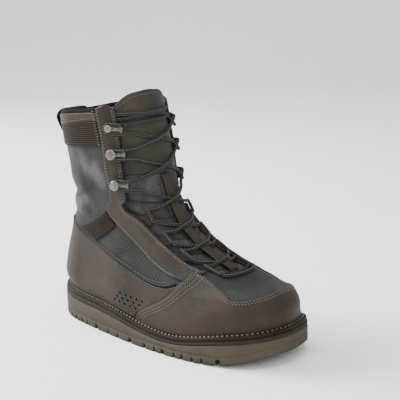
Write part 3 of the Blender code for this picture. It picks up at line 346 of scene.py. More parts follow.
def skin(t, q, lift):
    """Points at a height above the creased last. Below level 0 they go straight down."""
    t, q = np.broadcast_arrays(np.asarray(t, float), np.asarray(q, float))
    normal = outward(np.maximum(t, 0), q)
    level = np.clip(t / 0.035, 0, 1)[..., None]
    normal = normal * level + unit(normal * (1, 1, 0)) * (1 - level)
    high = np.asarray(lift, float) + crease(t, q % 1.0)
    points = surface(t, q) + normal * high[..., None]
    points[..., 2] += np.minimum(t, 0) * UPPER_HEIGHT
    return points


def share_at(t, run):
    """Share round at a distance from the front, outwards positive, inwards negative."""
    t, run = np.broadcast_arrays(np.asarray(t, float), np.asarray(run, float))
    row = np.clip(t, 0, TOP_LEVEL) * FINE_ROWS / TOP_LEVEL
    rows = np.arange(FINE_ROWS + 1)
    return 0.5 * run / np.where(run >= 0, np.interp(row, rows, OUTER_RUN), np.interp(row, rows, INNER_RUN))


THROAT = (
    (0.350, 0.200), (0.356, 0.270), (0.370, 0.325), (0.405, 0.355),
    (0.460, 0.355), (0.520, 0.365), (0.575, 0.380), (0.625, 0.440), (0.652, 0.535),
    (0.675, 0.540), (0.700, 0.470), (0.760, 0.430), (0.850, 0.405), (0.920, 0.382),
    (1.100, 0.370),
)
THROAT_FOOT = THROAT[0][0]


def throat_half(t):
    """Half width of the throat at a level, in metres, round at its foot."""
    levels, widths = np.array(THROAT).T
    width = BALL_WIDTH * curve(levels, widths, np.clip(t, levels[0], levels[-1]))
    foot = np.clip((np.asarray(t, float) - THROAT_FOOT + 0.012) / 0.02, 0, 1)
    return width * np.sqrt(1 - (1 - foot) ** 2)


# %% [markdown]
# Every piece below is a grid of points turned into faces. One helper makes an open or closed
# grid, one joins an upper and a lower grid into a slab with a rim, and one makes the object.
# Normals are worked out once for each closed form, so that all faces look outwards.
# %% Mesh helpers
PIECES = []


def grid_quads(rows, columns, start=0, flip=False, wrap=False):
    """Four-sided faces for a grid of points."""
    i, j = np.meshgrid(np.arange(rows - 1), np.arange(columns if wrap else columns - 1), indexing="ij")
    k = (j + 1) % columns
    faces = np.stack([i * columns + j, i * columns + k, (i + 1) * columns + k, (i + 1) * columns + j], -1)
    faces = faces.reshape(-1, 4) + start
    return faces[:, ::-1] if flip else faces


def slab(low, high):
    """A closed slab between two grids of points of one size."""
    rows, columns = low.shape[:2]
    count = rows * columns
    rim = [(0, j) for j in range(columns)] + [(i, columns - 1) for i in range(1, rows)]
    rim += [(rows - 1, j) for j in range(columns - 2, -1, -1)] + [(i, 0) for i in range(rows - 2, 0, -1)]
    ids = np.array([i * columns + j for i, j in rim])
    after = np.roll(ids, -1)
    edge = np.stack([after, ids, ids + count, after + count], -1)
    faces = np.vstack([grid_quads(rows, columns), grid_quads(rows, columns, count, flip=True), edge])
    return np.vstack([low.reshape(-1, 3), high.reshape(-1, 3)]), faces


def ring_faces(rows, columns):
    """Faces of a closed form made of rings, with a flat lid at both ends."""
    last = (rows - 1) * columns
    lids = [list(range(columns))[::-1], list(range(last, last + columns))]
    return grid_quads(rows, columns, wrap=True).tolist() + lids


def new_piece(name, points, faces, material, uv=None, attributes=None):
    """A closed mesh at the origin that rides on the boot. A grid's UV serves its lower and upper half."""
    mesh = bpy.data.meshes.new(name)
    faces = faces.tolist() if isinstance(faces, np.ndarray) else faces
    mesh.from_pydata(np.asarray(points, float).reshape(-1, 3), [], faces)
    for key, values in (attributes or {}).items():
        layer = mesh.attributes.new(key, "FLOAT", "POINT")
        layer.data.foreach_set("value", np.asarray(values, float).ravel())
    if uv is not None:
        layer = mesh.uv_layers.new(name="UVMap")
        corner = np.empty(len(mesh.loops), int)
        mesh.loops.foreach_get("vertex_index", corner)
        uv = np.asarray(uv, float).reshape(-1, 2)
        layer.data.foreach_set("uv", np.resize(uv, (len(mesh.vertices), 2))[corner].ravel())
    work = bmesh.new()
    work.from_mesh(mesh)
    bmesh.ops.recalc_face_normals(work, faces=work.faces)
    work.to_mesh(mesh)
    work.free()
    mesh.materials.append(material)
    return shown(bpy.data.objects.new(name, mesh))


def shown(piece):
    """The piece is smooth, is in the picture and rides on the boot."""
    piece.data.polygons.foreach_set("use_smooth", [True] * len(piece.data.polygons))
    if piece.name not in bpy.context.scene.collection.objects:
        bpy.context.scene.collection.objects.link(piece)
    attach(piece, BODY)
    PIECES.append(piece)
    return piece


def stand_for(piece, slot, *nodes):
    """Hide the nodes that a piece replaces. The slot is not used."""
    if nodes:
        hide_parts(*nodes)
    return piece


def tube(line, radius, count):
    """A closed round tube along a line, with UV in metres along and turns round."""
    line = np.asarray(line, float)
    along = unit(np.gradient(line, axis=0))
    across = Vector(along[0]).orthogonal().normalized()
    rings = []
    turns = np.linspace(0, 2 * math.pi, count, endpoint=False)
    for point, direction in zip(line, along):
        direction = Vector(direction)
        across = (across - direction * across.dot(direction)).normalized()
        other = np.array(direction.cross(across))
        rings.append(point + radius * (np.outer(np.cos(turns), across) + np.outer(np.sin(turns), other)))
    uv = np.stack(np.broadcast_arrays(run_along(line)[:, None], (turns / (2 * math.pi))[None]), -1)
    return np.array(rings).reshape(-1, 3), ring_faces(len(rings), count), uv.reshape(-1, 2)


def join(parts):
    """Several (points, faces, uv) meshes as one."""
    points, faces, uvs, start = [], [], [], 0
    for part_points, part_faces, part_uv in parts:
        part_points = np.asarray(part_points).reshape(-1, 3)
        points.append(part_points)
        uvs.append(part_uv)
        faces += [[k + start for k in face] for face in np.asarray(part_faces, dtype=object).tolist()]
        start += len(part_points)
    return np.vstack(points), faces, None if uvs[0] is None else np.vstack(uvs)


def laid(points, matrix):
    """Points of a small form, placed by a matrix."""
    matrix = np.array(matrix)
    return points @ matrix[:3, :3].T + matrix[:3, 3]


print("helpers for closed forms: slab, tube, ring_faces")


# %% [markdown]
# Materials come next. Shader maths is easier to read as a formula than as a list of nodes, so
# a small class wraps a socket and turns + - * / into Math nodes. A Finish is a material with
# one Principled shader, a helper that adds any node, and a helper that mixes two colours.
# %% Shader helpers


class Value:
    """A number in a material that changes over the surface."""

    def __init__(self, finish, socket):
        self.finish = finish
        self.socket = socket

    def maths(self, operation, first, second=0.0):
        node = self.finish.add("ShaderNodeMath", {"operation": operation}, {0: first, 1: second})
        return Value(self.finish, node.outputs[0])

    def __add__(self, other):
        return self.maths("ADD", self, other)

    __radd__ = __add__

    def __sub__(self, other):
        return self.maths("SUBTRACT", self, other)

    def __rsub__(self, other):
        return self.maths("SUBTRACT", other, self)

    def __mul__(self, other):
        return self.maths("MULTIPLY", self, other)

    def sine(self):
        return self.maths("SINE", self)

    def within(self, low, high):
        """0 below low, 1 above high and a soft step between."""
        node = self.finish.add("ShaderNodeMapRange", {"interpolation_type": "SMOOTHSTEP"},
                               {"Value": self, "From Min": low, "From Max": high})
        return Value(self.finish, node.outputs["Result"])


class Finish:
    """A material with one Principled shader."""

    def __init__(self, name, roughness, metallic=0.0, **settings):
        self.material = bpy.data.materials.new(name)
        self.material.use_nodes = True
        self.tree = self.material.node_tree
        self.shader = self.tree.nodes["Principled BSDF"]
        self.put("Roughness", roughness)
        self.put("Metallic", metallic)
        for key, value in settings.items():
            self.put(key.replace("_", " "), value)

    def link(self, value, socket):
        if isinstance(value, Value):
            value = value.socket
        if isinstance(value, bpy.types.NodeSocket):
            self.tree.links.new(value, socket)
        else:
            socket.default_value = value

    def put(self, name, value):
        self.link(value, self.shader.inputs[name])

    def add(self, kind, settings=None, values=None):
        node = self.tree.nodes.new(kind)
        for key, value in (settings or {}).items():
            setattr(node, key, value)
        for key, value in (values or {}).items():
            self.link(value, node.inputs[key])
        return node

    def place(self, kind="Object"):
        return self.add("ShaderNodeTexCoord").outputs[kind]

    def noise(self, scale, detail=3.0, roughness=0.55):
        node = self.add("ShaderNodeTexNoise", {},
                        {"Vector": self.place(), "Scale": scale, "Detail": detail, "Roughness": roughness})
        return Value(self, node.outputs["Fac"])

    def cells(self, scale, feature="DISTANCE_TO_EDGE"):
        node = self.add("ShaderNodeTexVoronoi", {"feature": feature},
                        {"Vector": self.place(), "Scale": scale})
        return Value(self, node.outputs["Distance"])

    def attribute(self, name):
        return Value(self, self.add("ShaderNodeAttribute", {"attribute_name": name}).outputs["Fac"])

    def axis(self, letter, kind="Object"):
        node = self.add("ShaderNodeSeparateXYZ", {}, {"Vector": self.place(kind)})
        return Value(self, node.outputs[letter])

    def mix(self, factor, first, second):
        node = self.add("ShaderNodeMix", {"data_type": "RGBA", "clamp_factor": True})
        named = {socket.identifier: socket for socket in node.inputs}
        for key, value in (("Factor_Float", factor), ("A_Color", first), ("B_Color", second)):
            self.link((*value, 1.0) if isinstance(value, tuple) and len(value) == 3 else value, named[key])
        return next(socket for socket in node.outputs if socket.identifier == "Result_Color")

    def done(self, colour, height=None, distance=0.0, roughness=None):
        """The material, with its colour and, where given, its relief and its uneven roughness."""
        self.put("Base Color", colour)
        if roughness is not None:
            self.put("Roughness", roughness)
        if height is not None:
            node = self.add("ShaderNodeBump", {}, {"Height": height, "Distance": distance, "Strength": 1.0})
            self.put("Normal", node.outputs["Normal"])
        return self.material


print("helpers for finishes: Value, Finish")


# %% [markdown]
# The leather is a matt grey-brown hide. Close up it has a fine pebble grain, from a distance
# soft clouds of warmer and greyer brown, and a paler bloom where it is rubbed. Three scales of
# pattern make that: cells for the grain, and two noises for the clouds and the rubbed places.
# %% Leather, cloth and rubber


def dimmed(colour, share):
    return tuple(share * c for c in colour)


def leather_finish(name, dark, pale, warm, shine=0.17):
    finish = Finish(name, 0.6, Specular_IOR_Level=shine)
    clouds = finish.noise(16.0, 2.0).within(0.35, 0.68)
    rubbed = finish.noise(45.0, 5.0, 0.65).within(0.52, 0.72)
    colour = finish.mix(clouds, dark, warm)
    colour = finish.mix(rubbed * 0.45, colour, pale)
    # rim: darker at a panel's raw cut edge, its own colour, and in the valleys between ribs, painted shade
    colour = finish.mix(finish.attribute("rim") * 0.55, colour, dimmed(dark, 0.3))
    grain = finish.cells(900.0).within(0.0, 0.35) * 0.55 + finish.noise(420.0, 3.0) * 0.6
    return finish.done(colour, grain, 0.00022, 0.52 + rubbed * 0.14 + clouds * 0.05)


def cloth_finish(name, dark, pale, bloom):
    """Coated nubuck-like cloth, dusty grey-green, with pale rubbed clouds and a painted highlight on the
    tongue.
    """
    finish = Finish(name, 0.8, Specular_IOR_Level=0.15, Sheen_Weight=0.03, Sheen_Roughness=0.5)
    clouds = finish.noise(14.0, 2.5, 0.6).within(0.38, 0.68)
    spots = finish.noise(32.0, 6.0, 0.7)
    # worn: the body's rubbed places, real wear, and on the tongue a painted highlight on its padded squares
    worn = (spots + finish.attribute("worn") * 0.45).within(0.56, 1.15)
    colour = finish.mix(clouds, dark, pale)
    colour = finish.mix(worn * 0.8, colour, bloom)
    colour = finish.mix(finish.attribute("rim") * 0.8, colour, dimmed(dark, 0.3))
    nap = finish.noise(1500.0, 4.0, 0.7) * 0.7 + finish.noise(180.0, 3.0) * 0.5
    return finish.done(colour, nap, 0.0002, 0.74 + worn * 0.16)


def rubber_finish(name, dark, pale, speck_and_low_colour):
    finish = Finish(name, 0.82, Specular_IOR_Level=0.15)
    clouds = finish.noise(22.0, 3.0).within(0.35, 0.7)
    specks = finish.noise(700.0, 2.0, 0.7).within(0.55, 0.75)
    # darker towards the bottom: within 12 mm of the ground, and at small specks, the rubber goes to a darker
    # colour
    low = 1.0 - finish.axis("Z").within(0.0, 0.012)
    colour = finish.mix(clouds, dark, pale)
    colour = finish.mix(low * 0.25 + specks * 0.12, colour, speck_and_low_colour)
    relief = finish.noise(900.0, 3.0) * 0.6 + specks * 0.3
    return finish.done(colour, relief, 0.00015, 0.78 + clouds * 0.12)


LEATHER = leather_finish("leather", (0.0182, 0.0143, 0.0110), (0.051, 0.0415, 0.0335),
                         (0.0315, 0.0220, 0.0152))
# painted light: the tongue cover's leather is the same hide, given paler colours for the light that falls on
# it
LIT_TONGUE_LEATHER = leather_finish("lit_tongue_leather", (0.0240, 0.0208, 0.0174), (0.060, 0.0535, 0.0460),
                                (0.0390, 0.0322, 0.0255))
CLOTH = cloth_finish("green_cloth", (0.0145, 0.0168, 0.0145), (0.0275, 0.0300, 0.0262), (0.110, 0.112, 0.102))
RUBBER = rubber_finish("sole_rubber", (0.046, 0.039, 0.028), (0.062, 0.053, 0.039), (0.034, 0.029, 0.021))
MIDSOLE = rubber_finish("midsole_rubber", (0.0172, 0.0139, 0.0095), (0.0255, 0.0210, 0.0147),
                        (0.0203, 0.0169, 0.0124))
WELT = leather_finish("welt_leather", (0.0120, 0.0088, 0.0060), (0.032, 0.0255, 0.0185),
                      (0.018, 0.0135, 0.0095), 0.08)
print("finishes:", len(bpy.data.materials))

# %% [markdown]
# Webbing, lace and thread are woven. Their patterns follow the piece, so they read its UV map:
# metres along the strap and across it. A weave is two sets of small waves at right angles, and
# the lace has slanting ones, with a pale fleck where two of them meet.
# %% Webbing, lace, thread, lining and metal


RIB_PITCH, PICK_PITCH, PLAIT_PITCH = 0.0022, 0.0011, 0.0034


def webbing_finish(name, dark, pale):
    """Woven strap: ribs along it, small picks across."""
    finish = Finish(name, 0.85, Specular_IOR_Level=0.12)
    ribs = (finish.axis("Y", "UV") * (2 * math.pi / RIB_PITCH)).sine()
    picks = (finish.axis("X", "UV") * (2 * math.pi / PICK_PITCH)).sine()
    weave = ribs * 0.5 + picks * 0.3 + 0.5
    return finish.done(finish.mix(weave.within(0.0, 1.2), dark, pale), weave, 0.00035)


def lace_finish():
    finish = Finish("lace_cord", 0.8, Specular_IOR_Level=0.15)
    along = finish.axis("X", "UV") * (2 * math.pi / PLAIT_PITCH)
    turns = finish.axis("Y", "UV") * (4 * math.pi)
    one, two = (along + turns).sine(), (along - turns).sine()
    plait = one * two
    fleck = (one + two).within(0.9, 1.6)
    colour = finish.mix(plait.within(-0.8, 1.0), (0.012, 0.0108, 0.0090), (0.051, 0.0465, 0.0395))
    return finish.done(finish.mix(fleck * 0.55, colour, (0.140, 0.129, 0.112)), plait, 0.0004)


def thread_finish(name, colour):
    finish = Finish(name, 0.7, Specular_IOR_Level=0.2)
    return finish.done(finish.mix(finish.noise(300.0, 2.0), dimmed(colour, 0.6), colour))


def lining_finish():
    finish = Finish("black_lining", 0.92, Specular_IOR_Level=0.1)
    mesh_cells = finish.cells(700.0, "F1").within(0.2, 0.8)
    colour = finish.mix(mesh_cells, (0.0035, 0.0035, 0.004), (0.009, 0.009, 0.010))
    return finish.done(colour, mesh_cells, 0.0003)


def metal_finish(name, dark, pale):
    finish = Finish(name, 0.42, 0.55)
    worn = finish.noise(260.0, 4.0, 0.6).within(0.4, 0.7)
    return finish.done(finish.mix(worn, dark, pale), finish.noise(900.0, 2.0), 0.00005, 0.38 + worn * 0.2)


WEBBING = webbing_finish("brown_webbing", (0.019, 0.0128, 0.0098), (0.050, 0.0360, 0.0285))
KEEPER_WEBBING = webbing_finish("keeper_webbing", (0.023, 0.0185, 0.0138), (0.052, 0.0435, 0.0335))
BLACK_WEBBING = webbing_finish("black_webbing", (0.0020, 0.0020, 0.0024), (0.0080, 0.0080, 0.0090))
RIB_CLOTH = leather_finish("ribbed_cloth", (0.0125, 0.0085, 0.0055), (0.040, 0.0300, 0.0215),
                            (0.0215, 0.0145, 0.0098), 0.07)
LACE = lace_finish()
THREAD = thread_finish("tan_thread", (0.132, 0.120, 0.102))
FINE_THREAD = thread_finish("fine_thread", (0.080, 0.076, 0.066))
WELT_THREAD = thread_finish("welt_thread", (0.185, 0.168, 0.138))
LINING = lining_finish()
METAL = metal_finish("hook_metal", (0.135, 0.120, 0.104), (0.22, 0.200, 0.178))
# painted shade: the same hook metal, much darker, for the hooks on the far, inner side
SHADED_HOOK_METAL = metal_finish("shaded_hook_metal", (0.010, 0.010, 0.010), (0.03, 0.03, 0.03))
HOLE = Finish("hole_shade", 1.0, Base_Color=(0.002, 0.002, 0.002, 1.0), Specular_IOR_Level=0.0).material
print("finishes:", len(bpy.data.materials))

# %% [markdown]
# The outsole is one rubber moulding. Its underside is a height field over the footprint: lugs
# round the edge, parted by uneven gaps, a sunk middle with studs, and plates with fine flutes at
# heel and toe. The wall goes up from the same edge, so a gap is open at the side as on the real one.
# %% Outsole
STATIONS = 560
ACROSS = 134
TOE_PLATE, HEEL_PLATE = 0.855, 0.125
RIDGE_HEIGHT, RIDGE_PITCH = 0.0006, 0.0050
PARTING_HEIGHT = 0.0085
FIRST_GAP, LAST_GAP = 0.050, 0.86
LUG_STEPS = (0.74, 1.02, 0.64, 0.84, 0.74, 1.18, 1.45, 1.13, 1.35, 1.5, 1.0)
GAP_WIDTHS = (0.9, 1.45, 1.0, 1.1, 0.9, 0.9, 1.6, 0.8, 0.9, 1.7, 1.2)


def soft(value, low, high):
    u = np.clip((value - low) / (high - low), 0, 1)
    return u * u * (3 - 2 * u)


def edge_distance(points):
    """Distance from plan points to the outline, with the side and the run along that side."""
    best = np.full(len(points), 9.0)
    run, side = np.zeros(len(points)), np.zeros(len(points), int)
    for number, half in enumerate(sides(EDGE)):
        for a, b, start in zip(half[:-1], half[1:], run_along(half)):
            step = b - a
            along = np.clip((points - a) @ step / (step @ step), 0, 1)
            away = np.linalg.norm(points - a - along[:, None] * step, axis=1)
            closer = away < best
            best[closer] = away[closer]
            run[closer] = (start + along * np.linalg.norm(step))[closer]
            side[closer] = number
    return best, run, side


def notch_runs(half):
    """Places and widths of the uneven gaps between edge lugs, along one side from the heel."""
    first, last = np.interp((FIRST_GAP * LENGTH, LAST_GAP * LENGTH), half[:, 0], run_along(half))
    places = first + LUG_PITCH * np.r_[0, np.cumsum(np.resize(LUG_STEPS, 30))]
    widths = NOTCH * np.resize(GAP_WIDTHS, 31)
    return zip(places[places < last], widths[places < last])


def stud_places():
    """Plan places and radii of the studs: large ones in staggered rows, small ones between."""
    outer, inner = sides(inset(EDGE_LUG))
    large, small = [], []
    for n, x in enumerate(np.arange(0.16 * LENGTH, 0.84 * LENGTH, STUD_PITCH)):
        low = np.interp(x, outer[:, 0], outer[:, 1]) + 1.5 * STUD_RADIUS
        high = np.interp(x, inner[:, 0], inner[:, 1]) - 1.5 * STUD_RADIUS
        count = max(2, int((high - low) / STUD_PITCH) + (n + 1) % 2)
        row = np.linspace(low, high, count)
        large += [(x, y, STUD_RADIUS * (1.0 if (n + k) % 3 else 1.12)) for k, y in enumerate(row)]
        small += [(x + 0.5 * STUD_PITCH, y, 0.5 * STUD_RADIUS) for y in (row[1:] + row[:-1])[n % 2::2] / 2]
    return large, small


def stud_cover(plan):
    """1 on a stud's face and 0 beside it. A large stud has a slit, a small one a hole."""
    large, small = stud_places()
    cover = np.zeros(len(plan))
    for k, (x, y, radius) in enumerate(large):
        dx, dy = plan[:, 0] - x, plan[:, 1] - y
        disc = 1 - soft(np.hypot(dx, dy), radius - 0.0004, radius + 0.0003)
        turn = 2.4 * k
        along, aside = dx * math.cos(turn) + dy * math.sin(turn), dy * math.cos(turn) - dx * math.sin(turn)
        slit = (1 - soft(np.abs(aside), 0.0005, 0.0010)) * soft(along, -0.0012, -0.0004)
        cover = np.maximum(cover, disc * (1 - 0.8 * slit))
    for x, y, radius in small:
        away = np.hypot(plan[:, 0] - x, plan[:, 1] - y)
        disc = 1 - soft(away, radius - 0.0004, radius + 0.0003)
        cover = np.maximum(cover, disc * soft(away, 0.0003, 0.0009))
    oval = np.hypot((plan[:, 0] - 0.36 * LENGTH) / 0.0145, (plan[:, 1] + 0.004) / 0.0062)
    plain = 0.55 * (1 - soft(oval, 0.93, 1.0)) - 0.12 * (1 - soft(oval, 0.72, 0.80))
    return np.where(oval < 1.25, plain, cover)


def tread_height(plan):
    """Height of the underside above the ground line, over plan points."""
    x, y = plan[:, 0], plan[:, 1]
    away, run, side = edge_distance(plan)
    share = x / LENGTH
    plate = np.maximum(soft(share, TOE_PLATE, TOE_PLATE + 0.003),
                       1 - soft(share, HEEL_PLATE - 0.003, HEEL_PLATE))
    lug = 1 - soft(away, EDGE_LUG - 0.0007, EDGE_LUG)
    middle = LUG_DEPTH * (1 - np.maximum(np.maximum(plate, lug), stud_cover(plan)))
    gap = np.zeros(len(plan))
    for number, half in enumerate(sides(EDGE)):
        for at, wide in notch_runs(half):
            inside = 1 - soft(np.abs(run - at), wide / 2 - 0.0003, wide / 2 + 0.0003)
            gap = np.maximum(gap, inside * (side == number))
    gap *= (1 - soft(away, 1.2 * EDGE_LUG, 1.25 * EDGE_LUG)) * (1 - soft(share, 0.862, 0.866))
    step = 0.0010 * (soft(away, 0.0042, 0.0047) - soft(away, 0.0105, 0.011)) * lug * (1 - plate)
    slant = x + 0.7 * np.abs(y + 0.004)
    flutes = 0.0007 * soft(np.sin(slant * 2 * math.pi / 0.0042), 0.2, 0.8)
    flutes *= np.maximum(soft(share, 0.905, 0.915), 1 - soft(share, 0.07, 0.08)) * soft(away, 0.004, 0.005)
    groove = 0.0030 * (1 - soft(np.abs(share - 0.885 - 0.9 * (y + 0.01)), 0.0035, 0.0055))
    groove *= plate * soft(share, 0.86, 0.865) * soft(away, 0.002, 0.004)
    ribs = RIDGE_HEIGHT * soft(np.sin(x * 2 * math.pi / RIDGE_PITCH), 0.1, 0.7)
    ribs = ribs * soft(middle, 0.5 * LUG_DEPTH, LUG_DEPTH)
    return np.maximum(middle - ribs, LUG_DEPTH * gap) + step + flutes + groove


def plan_stations():
    share = (1 - np.cos(np.linspace(0.012, math.pi - 0.012, STATIONS + 1))) / 2
    even = np.linspace(share[0], share[-1], STATIONS + 1)
    return LENGTH * (0.35 * share + 0.65 * even)


def build_outsole():
    outer, inner = sides(EDGE)
    x = plan_stations()
    low = np.interp(x, outer[:, 0], outer[:, 1])
    high = np.interp(x, inner[:, 0], inner[:, 1])
    v = np.linspace(0, 1, ACROSS + 1)
    plan = np.stack(np.broadcast_arrays(x[:, None], low[:, None] * (1 - v) + high[:, None] * v), -1)
    height = tread_height(plan.reshape(-1, 2)).reshape(plan.shape[:2])
    floor = np.dstack([plan, ground(plan[..., 0]) + height])
    n, m = STATIONS, ACROSS
    ring = [(i, 0) for i in range(n + 1)] + [(n, j) for j in range(1, m + 1)]
    ring += [(i, m) for i in range(n - 1, -1, -1)] + [(0, j) for j in range(m - 1, 0, -1)]
    rows, columns = np.array(ring).T
    ids = rows * (m + 1) + columns
    base = floor[rows, columns]
    along = unit(np.roll(base[:, :2], -2, axis=0) - np.roll(base[:, :2], 2, axis=0))
    inwards = np.stack([-along[:, 1], along[:, 0]], 1)
    ground_z, top_z = ground(base[:, 0]), rubber_top(base[:, 0])
    groove_z = ground_z + PARTING_HEIGHT
    profile = [(0.0007, base[:, 2] + 0.0004), (0.0, base[:, 2] + 0.0014)]
    for depth, offset in ((0.0, -0.0011), (0.0006, -0.0004), (0.0006, 0.0004), (0.0, 0.0011)):
        profile.append((depth, np.maximum(groove_z + offset, base[:, 2] + 0.0018 + offset / 10)))
    span = top_z - groove_z
    profile += [(-0.0002, groove_z + 0.5 * span), (0.0, top_z - 0.0014), (0.0004, top_z - 0.0004),
                (0.0012, top_z)]
    walls = [np.column_stack([base[:, :2] + inwards * depth, z]) for depth, z in profile]
    points = [floor.reshape(-1, 3)] + walls
    count = len(ring)
    faces = grid_quads(n + 1, m + 1, flip=True).tolist()
    previous = ids
    start = (n + 1) * (m + 1)
    for level in range(len(walls)):
        current = np.arange(count) + start + level * count
        faces += np.stack([previous, np.roll(previous, -1), np.roll(current, -1), current], -1).tolist()
        previous = current
    left = list(previous[: n + 1])
    toe = list(previous[n: n + m + 1])
    heel = [previous[0]] + list(previous[n + m + n:][::-1])
    opposite = list(previous[n + m: n + m + n + 1])[::-1]
    for i in range(n):
        faces.append([left[i], left[i + 1], opposite[i + 1], opposite[i]])
    faces.append([int(k) for k in toe[::-1]])
    faces.append([int(k) for k in heel])
    points = np.vstack(points) + (HEEL_X, SIDE_Y, 0.0)
    return stand_for(new_piece("outsole_rubber", points, faces, RUBBER), "sole_rubber", "outsole")


outsole = build_outsole()
print("outsole faces:", len(outsole.data.polygons))

# %% [markdown]
# Above the rubber lie a thin dark midsole and the welt, the strip that carries the stitching.
# Both are rings that follow the outline at a small inset, so one helper makes the ring and
# another joins rings into a closed body. The welt has a shallow channel where its stitches lie.
# %% Midsole, welt and footbed
RING = 260
WELT_STITCH = WELT_INSET + 0.0032


def plan_ring(amount, height):
    """The outline at an inset and a height, with even steps on both sides."""
    outer, inner = sides(inset(amount))
    loop = np.vstack([even_steps(outer, RING + 1), even_steps(inner, RING + 1)[::-1][1:-1]])
    return np.column_stack([loop + (HEEL_X, SIDE_Y), height(loop[:, 0])])


def stacked(profile):
    """Rings from (inset, height function) pairs and the faces between them."""
    rings = [plan_ring(amount, height) for amount, height in profile]
    return np.vstack(rings), grid_quads(len(rings), 2 * RING, wrap=True).tolist()


def lid(start):
    """Faces that close a ring from side to side."""
    left = [start + k for k in range(RING + 1)]
    right = [start] + [start + k for k in range(2 * RING - 1, RING - 1, -1)]
    faces = [[left[0], left[1], right[1]]]
    faces += [[left[i], left[i + 1], right[i + 1], right[i]] for i in range(1, RING - 1)]
    return faces + [[left[RING - 1], left[RING], right[RING - 1]]]


def raised(height, amount):
    return lambda x: height(x) + amount


def layer(name, profile, material):
    """A solid layer from (inset, height function) pairs, closed below and above."""
    points, faces = stacked(profile)
    return new_piece(name, points, faces + lid(0) + lid((len(profile) - 1) * 2 * RING), material)


def build_midsole():
    low, high = raised(rubber_top, GAP), midsole_top
    profile = [(0.0022, low), (0.0008, low), (0.0003, raised(low, 0.0004)),
               (0.0002, raised(high, -0.0004)), (0.0008, high), (0.0022, high)]
    return stand_for(layer("midsole_layer", profile, MIDSOLE), "midsole_rubber", "midsole")


def build_welt():
    low, high = raised(midsole_top, GAP), welt_top
    inner = WELT_INSET + WELT_SHELF + WALL + GAP
    stitch = WELT_STITCH
    profile = [(inner, low), (WELT_INSET + 0.0004, low), (WELT_INSET, raised(low, 0.0005)),
               (WELT_INSET + 0.0002, raised(low, 0.0013)), (WELT_INSET + 0.0005, raised(low, 0.0016)),
               (WELT_INSET + 0.0002, raised(low, 0.0019)), (WELT_INSET, raised(high, -0.0009)),
               (WELT_INSET + 0.0003, raised(high, -0.0002)), (WELT_INSET + 0.0010, high),
               (stitch - 0.0009, high), (stitch - 0.0003, raised(high, -0.0005)),
               (stitch + 0.0003, raised(high, -0.0005)), (stitch + 0.0009, high), (inner, high)]
    points, faces = stacked(profile + profile[:1])
    count = len(profile) * 2 * RING
    faces = [[k % count for k in face] for face in faces]
    return stand_for(new_piece("welt_strip", points[:count], faces, WELT), "welt_leather", "welt")


def build_footbed():
    edge = WELT_INSET + WELT_SHELF + WALL + 2 * GAP
    step, rise = 0.0028, 0.0025
    profile = [(edge, raised(midsole_top, GAP)), (edge, raised(welt_top, -GAP)), (edge + step, welt_top),
               (edge + step, raised(welt_top, rise - 0.0006)), (edge + step + 0.0006, raised(welt_top, rise))]
    return stand_for(layer("footbed", profile, LINING), "insole_board", "insole")


midsole, welt, footbed = build_midsole(), build_welt(), build_footbed()
print("welt faces:", len(welt.data.polygons))

# %% [markdown]
# The cloth body is one grid that wraps the foot, from the welt to the collar. Its two edges
# meet at the front below the throat and part above it, so the opening needs no cutting. The
# outer faces are cloth and the inner ones black lining, one wall thickness further in.
# %% Cloth body
BODY_COLUMNS = 230


def throat_shares(t):
    """Where the throat's outer and inner edges are, as shares round."""
    half = throat_half(t)
    return share_at(t, half), 1 + share_at(t, -half)


# Rubbed places on the cloth: level, share, radius in mm, strength
WORN = (
    (0.800, 0.245, 13, 1.0), (0.830, 0.290, 11, 0.9), (0.770, 0.225, 8, 0.8), (0.620, 0.385, 14, 0.9),
    (0.560, 0.410, 12, 0.9), (0.660, 0.340, 9, 0.6), (0.860, 0.340, 10, 0.7), (0.440, 0.260, 9, 0.45),
    (0.320, 0.275, 7, 0.4), (0.240, 0.060, 10, 0.3), (0.740, 0.700, 13, 0.9), (0.600, 0.640, 13, 0.7),
    (0.860, 0.600, 11, 0.6), (0.400, 0.760, 10, 0.4), (0.520, 0.520, 10, 0.6), (0.240, 0.950, 10, 0.3),
)


def worn_places(t, q):
    total = np.zeros(t.shape)
    for level, share, radius, strength in WORN:
        away = np.hypot((t - level) * UPPER_HEIGHT, (q - share) * SIDE_SCALE) * 1000 / radius
        total += strength * np.exp(-away**2)
    return np.minimum(total, 1.0)


